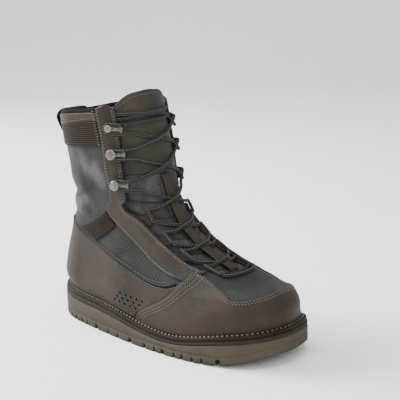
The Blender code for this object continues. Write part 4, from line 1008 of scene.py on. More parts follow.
def build_body():
    rows = np.r_[np.linspace(-0.012, 0.33, 58), np.linspace(0.336, 0.365, 12), np.linspace(0.372, 0.985, 98)]
    outer, inner = throat_shares(rows)
    v = np.linspace(0, 1, BODY_COLUMNS + 1)
    q = outer[:, None] * (1 - v) + inner[:, None] * v
    t = np.broadcast_to(rows[:, None], q.shape)
    count = q.size
    points = np.vstack([skin(t, q, 0.0).reshape(-1, 3), skin(t, q, -WALL).reshape(-1, 3)])
    joined = outer <= 1e-9
    index = np.arange(count).reshape(q.shape)
    index[joined, -1] = index[joined, 0]
    quads = np.stack([index[:-1, :-1], index[:-1, 1:], index[1:, 1:], index[1:, :-1]], -1).reshape(-1, 4)
    first = int(np.argmin(joined)) - 1
    rim = list(index[0, :-1]) + [index[0, 0]]
    faces = quads.tolist() + (quads[:, ::-1] + count).tolist()
    outside = len(quads)
    for line in (rim, list(index[-1])[::-1], list(index[first:, 0])[::-1], list(index[first:, -1])):
        faces += [[b, a, a + count, b + count] for a, b in zip(line[:-1], line[1:])]
    used = np.zeros(2 * count, bool)
    used[np.unique(np.array(faces))] = True
    new_index = np.cumsum(used) - 1
    faces = new_index[np.array(faces)]
    worn = np.r_[worn_places(t, q).ravel(), np.zeros(count)]
    piece = new_piece("cloth_body", points[used], faces, CLOTH, attributes={"worn": worn[used]})
    piece.data.materials.append(LINING)
    kinds = np.zeros(len(faces), int)
    kinds[outside:2 * outside] = 1
    piece.data.polygons.foreach_set("material_index", kinds)
    return stand_for(piece, "upper_cloth", "upper")


body = build_body()
print("body faces:", len(body.data.polygons))

# %% [markdown]
# A leather panel is a region between edge lines on the last. Real panels are about 1.4 mm
# thick with a rounded cut edge, so the grid has a few close rows near its border and its
# height falls there along a quarter circle. A panel may also have ribs or padding on top,
# with painted shade darkening the valleys between the ribs.
# %% Panels
RIM = np.array((0.0, 0.00022, 0.0006, 0.0012))


def spread(length, count):
    """Distances along a line, closer together near both ends."""
    rim = np.minimum(RIM, RIM / RIM[-1] * 0.25 * length)
    return np.r_[rim[:-1], np.linspace(rim[-1], length - rim[-1], count), (length - rim[:-1])[::-1]]


def grid_run(points, axis):
    """Distance along the lines of a grid of points, in one of its two directions."""
    step = np.diff(points, axis=axis, prepend=points.take([0], axis))
    return np.cumsum(np.linalg.norm(step, axis=2), axis=axis)


def fine_line(points, per_span=10):
    points = np.asarray(points, float)
    return round_through(points, per_span, False) if len(points) > 2 else even_steps(points, 60)


def resample(line, count):
    """Points along a line of (level, share) pairs, and their distances in metres along it."""
    run = run_along(surface(line[:, 0], line[:, 1]))
    at = spread(run[-1], count)
    return np.column_stack([np.interp(at, run, line[:, k]) for k in (0, 1)]), at


def region(lines, along, across):
    """Levels, shares, distance from the border, and metres along and across, between edge lines."""
    edges = np.array([resample(fine_line(line), along)[0] for line in lines])
    rows, far = [], []
    for cross in edges.transpose(1, 0, 2):
        cross = round_through(cross, 24, False) if len(cross) > 2 else even_steps(cross, 40)
        row, at = resample(cross, across)
        rows.append(row)
        far.append(at)
    t, q = np.moveaxis(np.array(rows), -1, 0)
    far = np.array(far)
    length = grid_run(surface(t, q), 0)
    inside = np.minimum(np.minimum(far, far[:, -1:] - far), np.minimum(length, length[-1] - length))
    return t, q, inside, length, far


def build_panel(name, lines, material, along=60, across=24, thick=OVERLAY, base=GAP, relief=None,
                round_=0.0012, shade_valleys=False):
    t, q, inside, length, far = region(lines, along, across)
    near = np.clip(inside / round_, 0, 1)
    high = base + thick * np.sqrt(1 - (1 - near) ** 2)
    lift = 0 * high if relief is None else relief(t, q, inside, length, far)
    points, faces = slab(skin(t, q, base - 0.0012), skin(t, q, high + lift))
    rim = 1 - np.clip(inside / 0.0016, 0, 1)
    # painted shade: the valleys between ribs are darkened through the rim attribute
    if shade_valleys:
        rim = np.maximum(rim, 1 - lift / lift.max())
    shade = {"rim": np.r_[rim.ravel(), rim.ravel()]}
    return new_piece(name, points, faces, material, np.stack([length, far], -1), shade)


RAND_TOP = (
    (0.228, 0.000), (0.222, 0.012), (0.210, 0.032), (0.197, 0.052), (0.189, 0.067),
    (0.189, 0.079), (0.204, 0.088), (0.240, 0.088), (0.273, 0.083), (0.303, 0.080),
    (0.330, 0.081), (0.350, 0.084), (0.356, 0.090), (0.343, 0.100), (0.300, 0.129),
    (0.262, 0.156), (0.221, 0.180), (0.159, 0.209), (0.093, 0.243), (0.049, 0.260),
    (-0.02, 0.268),
)
COUNTER_TOP = (
    (0.266, 0.146), (0.254, 0.160), (0.240, 0.173), (0.222, 0.190), (0.212, 0.212), (0.214, 0.240),
    (0.237, 0.268), (0.270, 0.298), (0.313, 0.332), (0.352, 0.364), (0.400, 0.405), (0.440, 0.454),
    (0.455, 0.500),
)
EYESTAY_REAR = (
    (0.262, 0.134), (0.284, 0.142), (0.294, 0.154), (0.308, 0.166), (0.332, 0.175), (0.361, 0.183),
    (0.406, 0.190), (0.455, 0.198), (0.495, 0.209), (0.535, 0.225), (0.595, 0.246),
    (0.650, 0.242), (0.686, 0.224), (0.712, 0.209), (0.759, 0.200), (0.832, 0.194),
    (0.894, 0.188), (0.951, 0.187), (0.998, 0.185),
)
ANKLE_RIB = ((0.440, 0.395), (0.619, 0.250), (0.535, 0.236), (0.367, 0.352))


def mirrored(line):
    """The same edge on the inner side."""
    return [(t, 1 - q) for t, q in line]


def both_ways(half):
    """An edge over the front, from the outer half of it."""
    return np.vstack([np.array(half)[::-1], [(t, -q) for t, q in half[1:]]])


def rand_level(q):
    """Level of the rand's rear seam at a share round."""
    seam = np.array(RAND_TOP[RAND_TOP.index(max(RAND_TOP)):])
    return np.interp(q, seam[:, 1] + 2 * SEAM / SIDE_SCALE, seam[:, 0])


def tucked(t, q, inside, length, far):
    """How far a panel sinks where it goes under the toe rand."""
    share = np.minimum(q % 1.0, 1 - q % 1.0)
    level = rand_level(np.maximum(share, max(RAND_TOP)[1]))
    return -0.85 * OVERLAY * soft((level - t) * UPPER_HEIGHT, 0.0004, 0.0030)


def build_rand():
    top = both_ways(fine_line(RAND_TOP, 6))
    foot = np.column_stack([np.full(80, -0.012), np.linspace(*top[[0, -1], 1], 80)])
    return stand_for(build_panel("toe_rand_leather", [foot, top], LEATHER, 300, 40), "leather", "toe_rand")


def build_counter():
    half = fine_line(COUNTER_TOP, 8)
    low = np.column_stack([np.maximum(rand_level(half[:, 1]) - 0.045, -0.012), half[:, 1]])
    top = np.vstack([half, mirrored(half[-2::-1])])
    foot = np.vstack([low, mirrored(low[-2::-1])])
    piece = build_panel("heel_counter_leather", [foot, top], LEATHER, 240, 44, relief=tucked)
    return stand_for(piece, "leather", "heel_counter")


def throat_line(first, last):
    levels = np.linspace(first, last, 60)
    return np.column_stack([levels, share_at(levels, throat_half(levels))])


def build_eyestay(side):
    rear = np.array(EYESTAY_REAR)
    edge = throat_line(0.360, 0.994)
    middle = [(0.290, 0.114), (0.325, 0.119), (0.40, 0.14), (0.70, 0.19), (0.98, 0.152), (1.010, 0.150)]
    lines = [np.vstack([[(0.318, 0.096), (0.338, 0.090)], edge]), middle, rear]
    if side == "inner":
        lines = [mirrored(line) for line in lines]
    piece = build_panel(f"eyestay_{side}_leather", lines, LEATHER, 170, 34, relief=tucked)
    return stand_for(piece, "leather", f"eyestay_{side}")


def rib_relief(count, height):
    """Padded ribs side by side, counted across the panel."""
    def relief(t, q, inside, length, far):
        share = far / far[:, -1:]
        wave = np.abs(np.sin(share * count * math.pi))
        fade = np.clip(inside / 0.002, 0, 1) * soft(np.minimum(q, 1 - q), 0.187, 0.194)
        return height * wave**0.6 * fade
    return relief


def build_ankle_ribs(side):
    lines = [ANKLE_RIB[:2], ANKLE_RIB[:1:-1]]
    if side == "inner":
        lines = [mirrored(line) for line in lines]
    piece = build_panel(f"ankle_ribs_{side}_pad", lines, RIB_CLOTH, 24, 84, 0.0008, GAP,
                        rib_relief(9, 0.0012), 0.0008, shade_valleys=True)
    return stand_for(piece, "ribbed_cloth", f"ankle_ribs_{side}")


def band_lines(levels, front, dip=0.0):
    """Lower and upper edge of a band round the back. The upper one may dip to the front."""
    shares = np.linspace(front, 1 - front, 60)
    fall = dip * soft(np.abs(shares - 0.5), 0.12, 0.32)
    return [np.column_stack([level - fall * (k > 0), shares]) for k, level in enumerate(levels)]


rand, counter = build_rand(), build_counter()
eyestays = [build_eyestay(side) for side in ("outer", "inner")]
ankle_ribs = [build_ankle_ribs(side) for side in ("outer", "inner")]
cuff = build_panel("ribbed_cuff_band", band_lines((0.893, 0.967), 0.180), RIB_CLOTH, 150, 120, 0.0008, GAP,
                   rib_relief(13, 0.0009), 0.0008, shade_valleys=True)
stand_for(cuff, "ribbed_cloth", "ribbed_cuff")
collar_leather = build_panel("collar_leather_band", band_lines((0.963, 1.001), 0.180, 0.016), LEATHER,
                             150, 12)
stand_for(collar_leather, "leather")
panels = (rand, counter, *eyestays, *ankle_ribs, cuff, collar_leather)
print("faces of the panels:", [len(panel.data.polygons) for panel in panels])

# %% [markdown]
# A thin dark piping is sewn in along the top of the heel counter. It fills the step between
# leather and cloth, and in the photo it reads as a dark line from the heel to the eyestay.
# %% Dark piping


def build_piping():
    half = fine_line(COUNTER_TOP[1:], 8)[4:]
    line = np.vstack([half, mirrored(half[-2::-1])])
    line[:, 0] += 0.0010 / UPPER_HEIGHT
    points, faces, uv = tube(skin(line[:, 0], line[:, 1], 0.0005), 0.0012, 10)
    return stand_for(new_piece("counter_piping", points, faces, LINING, uv), "black_webbing")


piping = build_piping()
print("piping faces:", len(piping.data.polygons))

# %% [markdown]
# The collar's edge is a soft black roll: padding with the lining folded over it. It is a round
# tube section that follows the collar round the back, flattened where it meets the leather.
# %% Collar roll


def build_collar_roll():
    q = np.linspace(0.176, 0.824, 220)
    dip = 0.018 * soft(np.abs(q - 0.5), 0.12, 0.32)
    outer_edge = skin(0.996 - dip, q, 0.5 * GAP)
    inner_edge = skin(0.955 - dip, q, -WALL - 0.0012)
    top_out = skin(1.009 - dip, q, 0.0006)
    crown = skin(1.016 - dip, q, -0.5 * WALL - 0.0004)
    top_in = skin(1.004 - dip, q, -WALL - 0.0026)
    under = skin(0.978 - dip, q, -0.5 * WALL)
    knots = np.stack([under, outer_edge, top_out, crown, top_in, inner_edge], 1)
    loops = [round_through(ring, 4, True) for ring in knots]
    faces = ring_faces(len(loops), len(loops[0]))
    piece = new_piece("collar_roll", np.vstack(loops), faces, LINING)
    return stand_for(piece, "black_webbing", "collar_binding")


collar_roll = build_collar_roll()
print("collar roll faces:", len(collar_roll.data.polygons))

# %% [markdown]
# The tongue lies under the throat. It is one padded slab, cloth below and leather above, and
# seams divide the cloth into soft squares. The padding is a height added between the seams,
# highest in the middle of each square, and the leather cover has its own rounded edge.
# %% Tongue
TONGUE_THICK = 0.0050
TONGUE_OVERLAP = 0.0090
TONGUE_FOOT, TONGUE_FOOT_HALF = 0.300, 0.022
TONGUE_TOP = ((0.0, 1.046), (0.45, 1.040), (0.8, 1.018), (1.0, 0.992))
TONGUE_BASE = -(WALL + GAP)
COVER_FOOT = 0.768
TONGUE_SEAMS = (0.385, 0.416, 0.468, 0.540, 0.635, 0.705)


def tongue_half(t):
    base = np.maximum(throat_half(t), TONGUE_FOOT_HALF) + TONGUE_OVERLAP
    return base * (1 - 0.06 * np.clip((t - 0.94) / 0.06, 0, 1))


def tongue_line(place, first, last, count, narrow=1.0):
    """A line up the tongue at a place from -1 (inner edge) to 1 (outer edge)."""
    share, top = np.array(TONGUE_TOP).T
    end = float(curve(share, top, abs(place)))
    plain = np.linspace(first, last, count)
    t = TONGUE_FOOT + (plain - TONGUE_FOOT) * (end - TONGUE_FOOT) / (1 - TONGUE_FOOT)
    return np.column_stack([t, share_at(t, place * narrow * tongue_half(plain))])


def from_seam(t, far):
    """Distance from the nearest seam of the tongue's cloth part."""
    seams = np.array(TONGUE_SEAMS)
    row = np.min(np.abs(t[..., None] - seams), axis=-1) * UPPER_HEIGHT
    column = np.abs(np.abs(far - far[:, -1:] / 2) - 0.0085)
    return np.minimum(row, column) + (t > COVER_FOOT)


def build_tongue():
    lines = [tongue_line(place, 0.30, 1.0, 60) for place in np.linspace(-1, 1, 9)]
    t, q, inside, length, far = region(lines, 200, 90)
    near = np.clip(inside / 0.0035, 0, 1)
    swell = TONGUE_THICK * 0.5 * np.sqrt(1 - (1 - near) ** 2)
    middle = TONGUE_BASE - TONGUE_THICK / 2
    seam = from_seam(t, far)
    high = middle + swell - 0.0016 * (1 - np.sqrt(np.clip(seam / 0.0045, 0, 1)))
    points, faces = slab(skin(t, q, middle - swell), skin(t, q, high))
    dark = 1 - np.clip(seam / 0.0011, 0, 1).ravel()
    # painted highlight: a steady 0.50 on the worn attribute lightens the padded squares' cloth all over
    shade = {"rim": np.r_[0 * dark, dark], "worn": np.full(2 * dark.size, 0.50)}
    piece = new_piece("tongue_pad", points, faces, CLOTH, np.stack([length, far], -1), shade)
    return stand_for(piece, "upper_cloth", "tongue")


def build_tongue_cover():
    """Leather over the upper part of the tongue, turned in at its rim."""
    lines = [tongue_line(place, COVER_FOOT + 0.028 * place**2, 1.0, 50, 0.985)
             for place in np.linspace(-1, 1, 9)]
    # the cover takes the paler copy of the leather, painted light
    cover = build_panel("tongue_cover", lines, LIT_TONGUE_LEATHER, 110, 60, 0.0011, TONGUE_BASE - 0.0004)
    return stand_for(cover, "leather")


tongue, tongue_cover = build_tongue(), build_tongue_cover()
print("tongue faces:", len(tongue.data.polygons), len(tongue_cover.data.polygons))

# %% [markdown]
# The fittings hold the lace. A speed hook is a riveted plate whose tongue bends over the lace
# and ends in a round head. Each is made flat, in its own small frame with X to the front, and
# then laid on the eyestay with a matrix that comes from the surface's normal.
# %% Speed hooks
LACE_RADIUS = 0.00175
HOOK_LENGTH, HOOK_HEAD, HOOK_NECK, HOOK_THICK = 0.0165, 0.0054, 0.0022, 0.0014
HOOK_OVERHANG, TOP_HOOK_SIZE = 0.0050, 0.72
BOTH = (("outer", 1), ("inner", -1))
HOOK_LEVELS = (0.767, 0.870, 0.950)
LOOP_LEVELS = (0.382, 0.432, 0.502, 0.596)


def frame_at(t, q, lift):
    """Placement on the skin: X points to the front, Y up the boot, Z outwards."""
    normal = Vector(outward(t, q))
    forward = Vector(surface(t, q - 0.01) - surface(t, q + 0.01))
    if q > 0.5:
        forward = -forward
    forward = (forward - normal * forward.dot(normal)).normalized()
    matrix = Matrix((forward, normal.cross(forward), normal)).transposed().to_4x4()
    matrix.translation = Vector(skin(t, q, lift))
    return matrix


def hook_frame(level, sign):
    middle = float(throat_half(level)) + HOOK_LENGTH / 2 - HOOK_OVERHANG
    return frame_at(level, float(share_at(level, sign * middle)) % 1.0, 4 * GAP + OVERLAY)


def turned(profile, count, x=0.0):
    """A closed turned form from (radius, height) pairs, standing at x."""
    turns = np.linspace(0, 2 * math.pi, count, endpoint=False)
    rings = [np.column_stack([x + r * np.cos(turns), r * np.sin(turns), np.full(count, z)])
             for r, z in profile]
    return np.vstack(rings), ring_faces(len(rings), count), None


def bent_plate(stations, thick, bevel=0.0003):
    """A plate from (x, height, half width) stations, with rounded edges."""
    path = round_through(stations, 5, False)
    rows = []
    for x, z, half in path:
        side = [(half - bevel, z + thick), (half, z + thick - bevel), (half, z + bevel), (half - bevel, z)]
        section = [(-y, height) for y, height in side[::-1]] + side
        rows.append([(x, y, height) for y, height in section])
    return np.array(rows).reshape(-1, 3), ring_faces(len(rows), 8), None


def build_hook(name, level, sign):
    under = 2 * LACE_RADIUS + 3 * GAP
    tip = HOOK_LENGTH / 2
    post = HOOK_NECK - tip
    outline = ((post - 0.0020, 0.0014), (post - 0.0012, 0.0024), (post + 0.002, 0.0026), (0.0, 0.0022),
               (0.004, 0.0023), (tip - 0.0025, 0.0038), (tip - 0.0008, 0.0045), (tip, 0.0043))
    plate = bent_plate([(x, 0.0, half) for x, half in outline], HOOK_THICK)
    neck = turned([(0.0017, 0.4 * HOOK_THICK), (0.0015, 0.5 * under), (0.0019, under + 0.0003)], 14, post)
    size = HOOK_HEAD * (1.0 if level < HOOK_LEVELS[-1] else TOP_HOOK_SIZE)
    crown = under + HOOK_THICK
    head = turned([(0.4 * size, under - 0.0002), (0.9 * size, under), (size, under + 0.0005),
                   (0.96 * size, under + 0.0010), (0.82 * size, crown), (0.66 * size, crown + 0.0001),
                   (0.5 * size, crown + 0.0004), (0.2 * size, crown + 0.0005)], 28, post)
    rivet = turned([(0.0013, 0.9 * HOOK_THICK), (0.0013, HOOK_THICK + 0.0003), (0.0007, HOOK_THICK + 0.0006)],
                   12, tip - 0.0034)
    points, faces, _ = join([plate, neck, head, rivet])
    points = laid(points, hook_frame(level, sign))
    # the inner side's hooks take the darker copy of the metal, painted shade
    piece = new_piece(f"{name}_piece", points, faces, METAL if sign > 0 else SHADED_HOOK_METAL)
    return stand_for(piece, "hook_metal", name)


hooks = [build_hook(f"lace_hook_{side}_{n}", level, sign)
         for side, sign in BOTH for n, level in enumerate(HOOK_LEVELS, 1)]
print("hooks:", len(hooks))

# %% [markdown]
# Lower down the lace runs through webbing loops instead of hooks, and three webbing keepers
# hold its crossings to the tongue. They are short flat straps that lie on the tongue, so each
# is a small slab over a region of the last, raised where it passes over the lace.
# %% Webbing loops and keepers
LOOP_WIDTH, LOOP_THICK, SUNK = 0.0122, 0.0022, 0.0008
LACE_PLACES = ((0.366, 0.048), (0.447, 0.061), (0.533, 0.071), (0.640, 0.087))
LACE_HALF = 0.026
KEEPER_WIDTH, KEEPER_THICK = 0.0125, 0.0014
LACE_LIFT = -WALL + 2 * GAP + LACE_RADIUS
FITTINGS = len(LOOP_LEVELS) + len(HOOK_LEVELS)


def per_level(level, run):
    """Metres of the last for each whole level, at a distance from the front."""
    ends = [surface(level + k * 0.02, share_at(level, run)) for k in (-1, 1)]
    return float(np.linalg.norm(ends[1] - ends[0])) / 0.04


def lace_run(index):
    """How far from the front a strand leaves a loop or a hook."""
    if index < len(LOOP_LEVELS):
        level, share = LACE_PLACES[index]
        return share / float(share_at(level, 1.0))
    return float(throat_half(HOOK_LEVELS[index - len(LOOP_LEVELS)])) - HOOK_OVERHANG - 3 * LACE_RADIUS


def lace_ends(index):
    """Levels where the strand comes to a loop or hook and leaves it."""
    if index < len(LOOP_LEVELS):
        level = LACE_PLACES[index][0]
        return level - LACE_HALF, level + LACE_HALF
    level = HOOK_LEVELS[index - len(LOOP_LEVELS)]
    half = (HOOK_NECK + LACE_RADIUS + 2 * GAP) / per_level(level, lace_run(index))
    return level - half, level + half


def crossing(index):
    start, end = lace_ends(index)[1], lace_ends(index + 1)[0]
    low, high = (lace_run(k) for k in (index, index + 1))
    return start + (end - start) * low / (low + high)


def strap_patch(t, q, low, thick):
    """A strap over (level, share) grids with soft long edges, and its UV map in metres."""
    points_low = skin(t, q, low)
    soft_edge = np.ones(t.shape[1])
    soft_edge[[0, -1]], soft_edge[[1, -2]] = 0.35, 0.85
    high = skin(t, q, low + thick * soft_edge[None, :])
    return *slab(points_low, high), np.stack([grid_run(points_low, 0), grid_run(points_low, 1)], -1)


def build_loop(name, index, sign):
    level = LOOP_LEVELS[index]
    rise = LACE_PLACES[index][0] - level
    half = LOOP_WIDTH / 2 / per_level(level, float(throat_half(level)))
    near = min(float(throat_half(v)) for v in np.linspace(level - 1.3 * half, level + 1.3 * half, 5))
    across = np.linspace(-1, 1, 13)
    inwards = np.linspace(-0.35, 1.06, 26)
    reach = near - 3 * SEAM - lace_run(index) + 0.0026
    run = sign * (near - 3 * SEAM - reach * inwards)
    narrow = 1 - 0.22 * np.clip((inwards - 0.75) / 0.3, 0, 1) ** 2
    climb = rise * (0.35 + 0.65 * np.clip(inwards, 0, 1))
    t = level + half * across[None, :] * narrow[:, None] + climb[:, None]
    q = share_at(t, run[:, None])
    thick = LOOP_THICK * (0.75 + 0.30 * soft(inwards, 0.25, 0.55) - 0.5 * soft(inwards, 0.98, 1.06))
    points, faces, uv = strap_patch(t, q, -WALL + GAP - SUNK, thick[:, None] + SUNK)
    return stand_for(new_piece(f"{name}_piece", points, faces, WEBBING, uv), "webbing", name)


def build_keeper(name, first, last, *nodes):
    """A webbing strip up the middle of the tongue, sewn down at both ends and bulged between."""
    along = np.linspace(-1, 1, 36)
    lift = TONGUE_BASE - 0.0002 + 0.0034 * np.sqrt(np.clip(1 - np.abs(along) ** 2, 0, 1))
    side = np.linspace(-1, 1, 13)
    t = np.broadcast_to((first + last) / 2 + along[:, None] * (last - first) / 2, (36, 13))
    q = share_at(t, side[None, :] * KEEPER_WIDTH / 2)
    points, faces, uv = strap_patch(t, q, lift[:, None], KEEPER_THICK)
    return stand_for(new_piece(f"{name}_piece", points, faces, KEEPER_WEBBING, uv), "webbing", *nodes)


loops = [build_loop(f"lace_loop_{side}_{n + 1}", n, sign)
         for side, sign in BOTH for n in range(len(LOOP_LEVELS))]
crossings = [crossing(index) for index in range(4)]
keepers = [build_keeper(name, crossings[n] - 0.004, crossings[n + 1] + 0.004, name)
           for n, name in enumerate(f"tongue_keeper_{k}" for k in (1, 2, 3))]
keepers.append(build_keeper("tongue_webbing_low", LOOP_LEVELS[0] - 0.020, crossings[0]))
keepers.append(build_keeper("tongue_webbing_top", crossings[3] + 0.006, COVER_FOOT + 0.03))
print("crossings at", [round(c, 3) for c in crossings])
print("webbing pieces:", len(loops) + len(keepers))

# %% [markdown]
# The lace is drawn as it runs: through a loop, across the tongue, round a hook and on. It is
# a round cord of fixed thickness on a smooth curve, about 1.6 m of it. Where two strands cross,
# one rises by a lace's thickness over the other, as they must on the real boot.
# %% Lace


def lace_at_fitting(index, sign):
    """Points of the lace along a loop, or round the post of a hook, from below to above."""
    if index < len(LOOP_LEVELS):
        run = sign * lace_run(index)
        lift = -WALL + 2 * GAP + LOOP_THICK + LACE_RADIUS
        levels = np.linspace(*lace_ends(index), 4)
        return [skin(t, share_at(t, run), lift - lower)
                for t, lower in zip(levels, (0.0006, 0.0, 0.0, 0.0006))]
    matrix = hook_frame(HOOK_LEVELS[index - len(LOOP_LEVELS)], sign)
    reach = HOOK_NECK + LACE_RADIUS + 2 * GAP
    post = HOOK_NECK - HOOK_LENGTH / 2
    round_post = [(post - reach * math.cos(a), reach * math.sin(a))
                  for a in np.radians((-90, -50, 0, 50, 90))]
    local = [(HOOK_LENGTH / 2, -reach), (0.0, -reach)] + round_post + [(0.0, reach), (HOOK_LENGTH / 2, reach)]
    return [np.array(matrix @ Vector((x, y, LACE_RADIUS))) for x, y in local]


def lace_lift(level, run):
    """Lift of the lace: on the tongue inside the throat, and on the vamp below its foot."""
    inside = soft(float(throat_half(level)) - abs(run), 0.0, 0.005)
    return (1 - inside) * (GAP + LACE_RADIUS) + inside * LACE_LIFT


def lace_between(start, end, over):
    """Points of a strand across the tongue. The strand that lies over rises at the crossing."""
    (t0, run0), (t1, run1) = start, end
    points = []
    for u in np.linspace(0.06, 0.94, 13):
        t, run = t0 + (t1 - t0) * u, run0 + (run1 - run0) * u
        hump = (2 * LACE_RADIUS) * over * math.exp(-(run / 0.010) ** 2)
        points.append(skin(t, share_at(t, run), lace_lift(t, run) + hump))
    return points


def build_lace():
    strands = []
    for first in (1, -1):
        points = []
        for index in range(FITTINGS):
            sign = first * (1 if index % 2 == 0 else -1)
            points += lace_at_fitting(index, sign)
            if index + 1 < FITTINGS:
                start = (lace_ends(index)[1], sign * lace_run(index))
                end = (lace_ends(index + 1)[0], -sign * lace_run(index + 1))
                points += lace_between(start, end, 1.0 if sign > 0 else 0.0)
        strands.append(points)
    low, run = lace_ends(0)[0], lace_run(0)
    for drop, wide in ((0.000, 1.0), (0.016, 1.04)):
        bar = []
        for place in np.linspace(1, -1, 13):
            level = low + 0.010 * (1 - place**2) - drop * (1 - 0.6 * place**4)
            bar.append(skin(level, share_at(level, place * wide * run), lace_lift(level, place * run)))
        strands.append(bar)
    top, run = lace_ends(FITTINGS - 1)[1], lace_run(FITTINGS - 1)
    start, end = (lace_at_fitting(FITTINGS - 1, sign)[-1] for sign in (1, -1))
    strands.append([start] + lace_between((top, run), (top + 0.004, -run), 0.8) + [end])
    edge = float(throat_half(0.98))
    for level, drop, over in ((0.985, 0.020, 0.0), (0.972, -0.012, 1.0)):
        ends = [(level, edge + 0.0005), (level - drop, 0.002 - edge)]
        tips = [skin(t, share_at(t, r), LACE_LIFT) for t, r in ends]
        strands.append(tips[:1] + lace_between(*ends, over) + tips[1:])
    parts = [tube(round_through(points, 5, False), LACE_RADIUS, 14) for points in strands]
    points, faces, uv = join(parts)
    return stand_for(new_piece("lace_cord_piece", points, faces, LACE, uv), "lace_cord", "lace")


lace = build_lace()
print("lace faces:", len(lace.data.polygons))

# %% [markdown]
# The pull loop at the back is a webbing strap folded over the collar, and a small folded tab
# sits under the cuff. A strap is swept along its side view, with UV in metres for the weave.
# %% Pull loop and back tab
PULL_WIDTH, PULL_THICK, PULL_DROP, PULL_BULGE = 0.0220, 0.0018, 0.0240, 0.0155
TAB_WIDTH, TAB_THICK = 0.0090, 0.0011


def build_strap(name, path, width, thick, material):
    """A strap along its side view of (x, z) points, with thin long edges."""
    path = round_through(path, 8, False)
    along = unit(np.gradient(path, axis=0))
    across = np.column_stack([along[:, 1], -along[:, 0]]) * thick / 2
    side = np.linspace(-1, 1, 17)
    edge = np.sqrt(np.clip(1 - np.abs(side) ** 10, 0.02, 1))
    low, high = (np.array([[(x + sign * e * dx, SIDE_Y + y * width / 2, z + sign * e * dz)
                            for y, e in zip(side, edge)] for (x, z), (dx, dz) in zip(path, across)])
                 for sign in (-1, 1))
    uv = np.stack(np.broadcast_arrays(run_along(path)[:, None], side[None] * width / 2), -1)
    return new_piece(name, *slab(low, high), material, uv)


def from_point(point, *steps):
    """Side view points at steps in x and z from a point of the last."""
    return [(point[0] + x, point[2] + z) for x, z in steps]


def build_pull_loop():
    top, foot = surface(1.0, 0.5), surface(1.0 - PULL_DROP / UPPER_HEIGHT, 0.5)
    out = 2 * OVERLAY + 3 * GAP + PULL_THICK / 2 + 0.0005
    inside = WALL + 0.0042
    path = from_point(foot, (-0.0016, -0.0030), (-0.0032, 0.0016),
                      (-0.7 * out - 0.4 * PULL_BULGE, 0.25 * PULL_DROP))
    path += from_point(top, (-out - PULL_BULGE, -0.4 * PULL_DROP), (-out - PULL_BULGE, -0.1 * PULL_DROP),
                       (-out - 0.6 * PULL_BULGE, 0.0030), (-out * 0.4, 0.0055), (inside * 0.7, 0.0050),
                       (inside, -0.0010), (inside + 0.0012, -0.5 * PULL_DROP))
    piece = build_strap("pull_loop_strap", path, PULL_WIDTH, PULL_THICK, BLACK_WEBBING)
    return stand_for(piece, "black_webbing", "pull_loop")


def build_back_tab():
    low, high = surface(0.838, 0.5), surface(0.892, 0.5)
    path = from_point(high, (-0.0008, 0.001), (-0.0034, -0.0010))
    path += from_point(low, (-0.0088, 0.0030), (-0.0092, 0.0006), (-0.0078, 0.0014))
    path += from_point(high, (-0.0020, -0.0030))
    piece = build_strap("back_tab_strap", path, TAB_WIDTH, TAB_THICK, BLACK_WEBBING)
    return stand_for(piece, "black_webbing", "back_tab")


pull_loop, back_tab = build_pull_loop(), build_back_tab()
print("straps at the back:", pull_loop.name, back_tab.name)

# %% [markdown]
# A boot has thousands of stitches, so they are made by a rule. The seam lines go in as plain
# edges. Geometry Nodes walks along them at the pitch, puts a small bead on every step, turns
# it along the line, and makes the beads real, because the exported model drops instances.
# %% Stitches
STITCH_LIFT = GAP + OVERLAY
SEAM_FOOT = 0.030


def thread_tree(name, material):
    tree = bpy.data.node_groups.new(name, "GeometryNodeTree")
    face = tree.interface
    face.new_socket("Geometry", in_out="INPUT", socket_type="NodeSocketGeometry")
    for label in ("Pitch", "Length", "Thickness"):
        face.new_socket(label, in_out="INPUT", socket_type="NodeSocketFloat")
    face.new_socket("Geometry", in_out="OUTPUT", socket_type="NodeSocketGeometry")
    kinds = ("NodeGroupInput", "NodeGroupOutput", "GeometryNodeMeshToCurve", "GeometryNodeResampleCurve",
             "GeometryNodeInstanceOnPoints", "GeometryNodeMeshUVSphere", "GeometryNodeTransform",
             "ShaderNodeCombineXYZ", "GeometryNodeInputTangent", "FunctionNodeAlignRotationToVector",
             "GeometryNodeRealizeInstances", "GeometryNodeSetMaterial")
    start, end, curves, steps, place, bead, grow, size, tangent, turn, real, paint = (
        tree.nodes.new(kind) for kind in kinds)
    steps.mode = "LENGTH"
    for key, value in (("Segments", 6), ("Rings", 5), ("Radius", 0.5)):
        bead.inputs[key].default_value = value
    paint.inputs["Material"].default_value = material
    for source, out, target, into in (
            (start, "Geometry", curves, 0), (curves, 0, steps, "Curve"), (start, "Pitch", steps, "Length"),
            (start, "Thickness", size, "X"), (start, "Thickness", size, "Y"), (start, "Length", size, "Z"),
            (bead, "Mesh", grow, "Geometry"), (size, 0, grow, "Scale"), (tangent, 0, turn, "Vector"),
            (steps, 0, place, "Points"), (grow, 0, place, "Instance"), (turn, 0, place, "Rotation"),
            (place, 0, real, 0), (real, 0, paint, "Geometry"), (paint, 0, end, 0)):
        tree.links.new(source.outputs[out], target.inputs[into])
    return tree


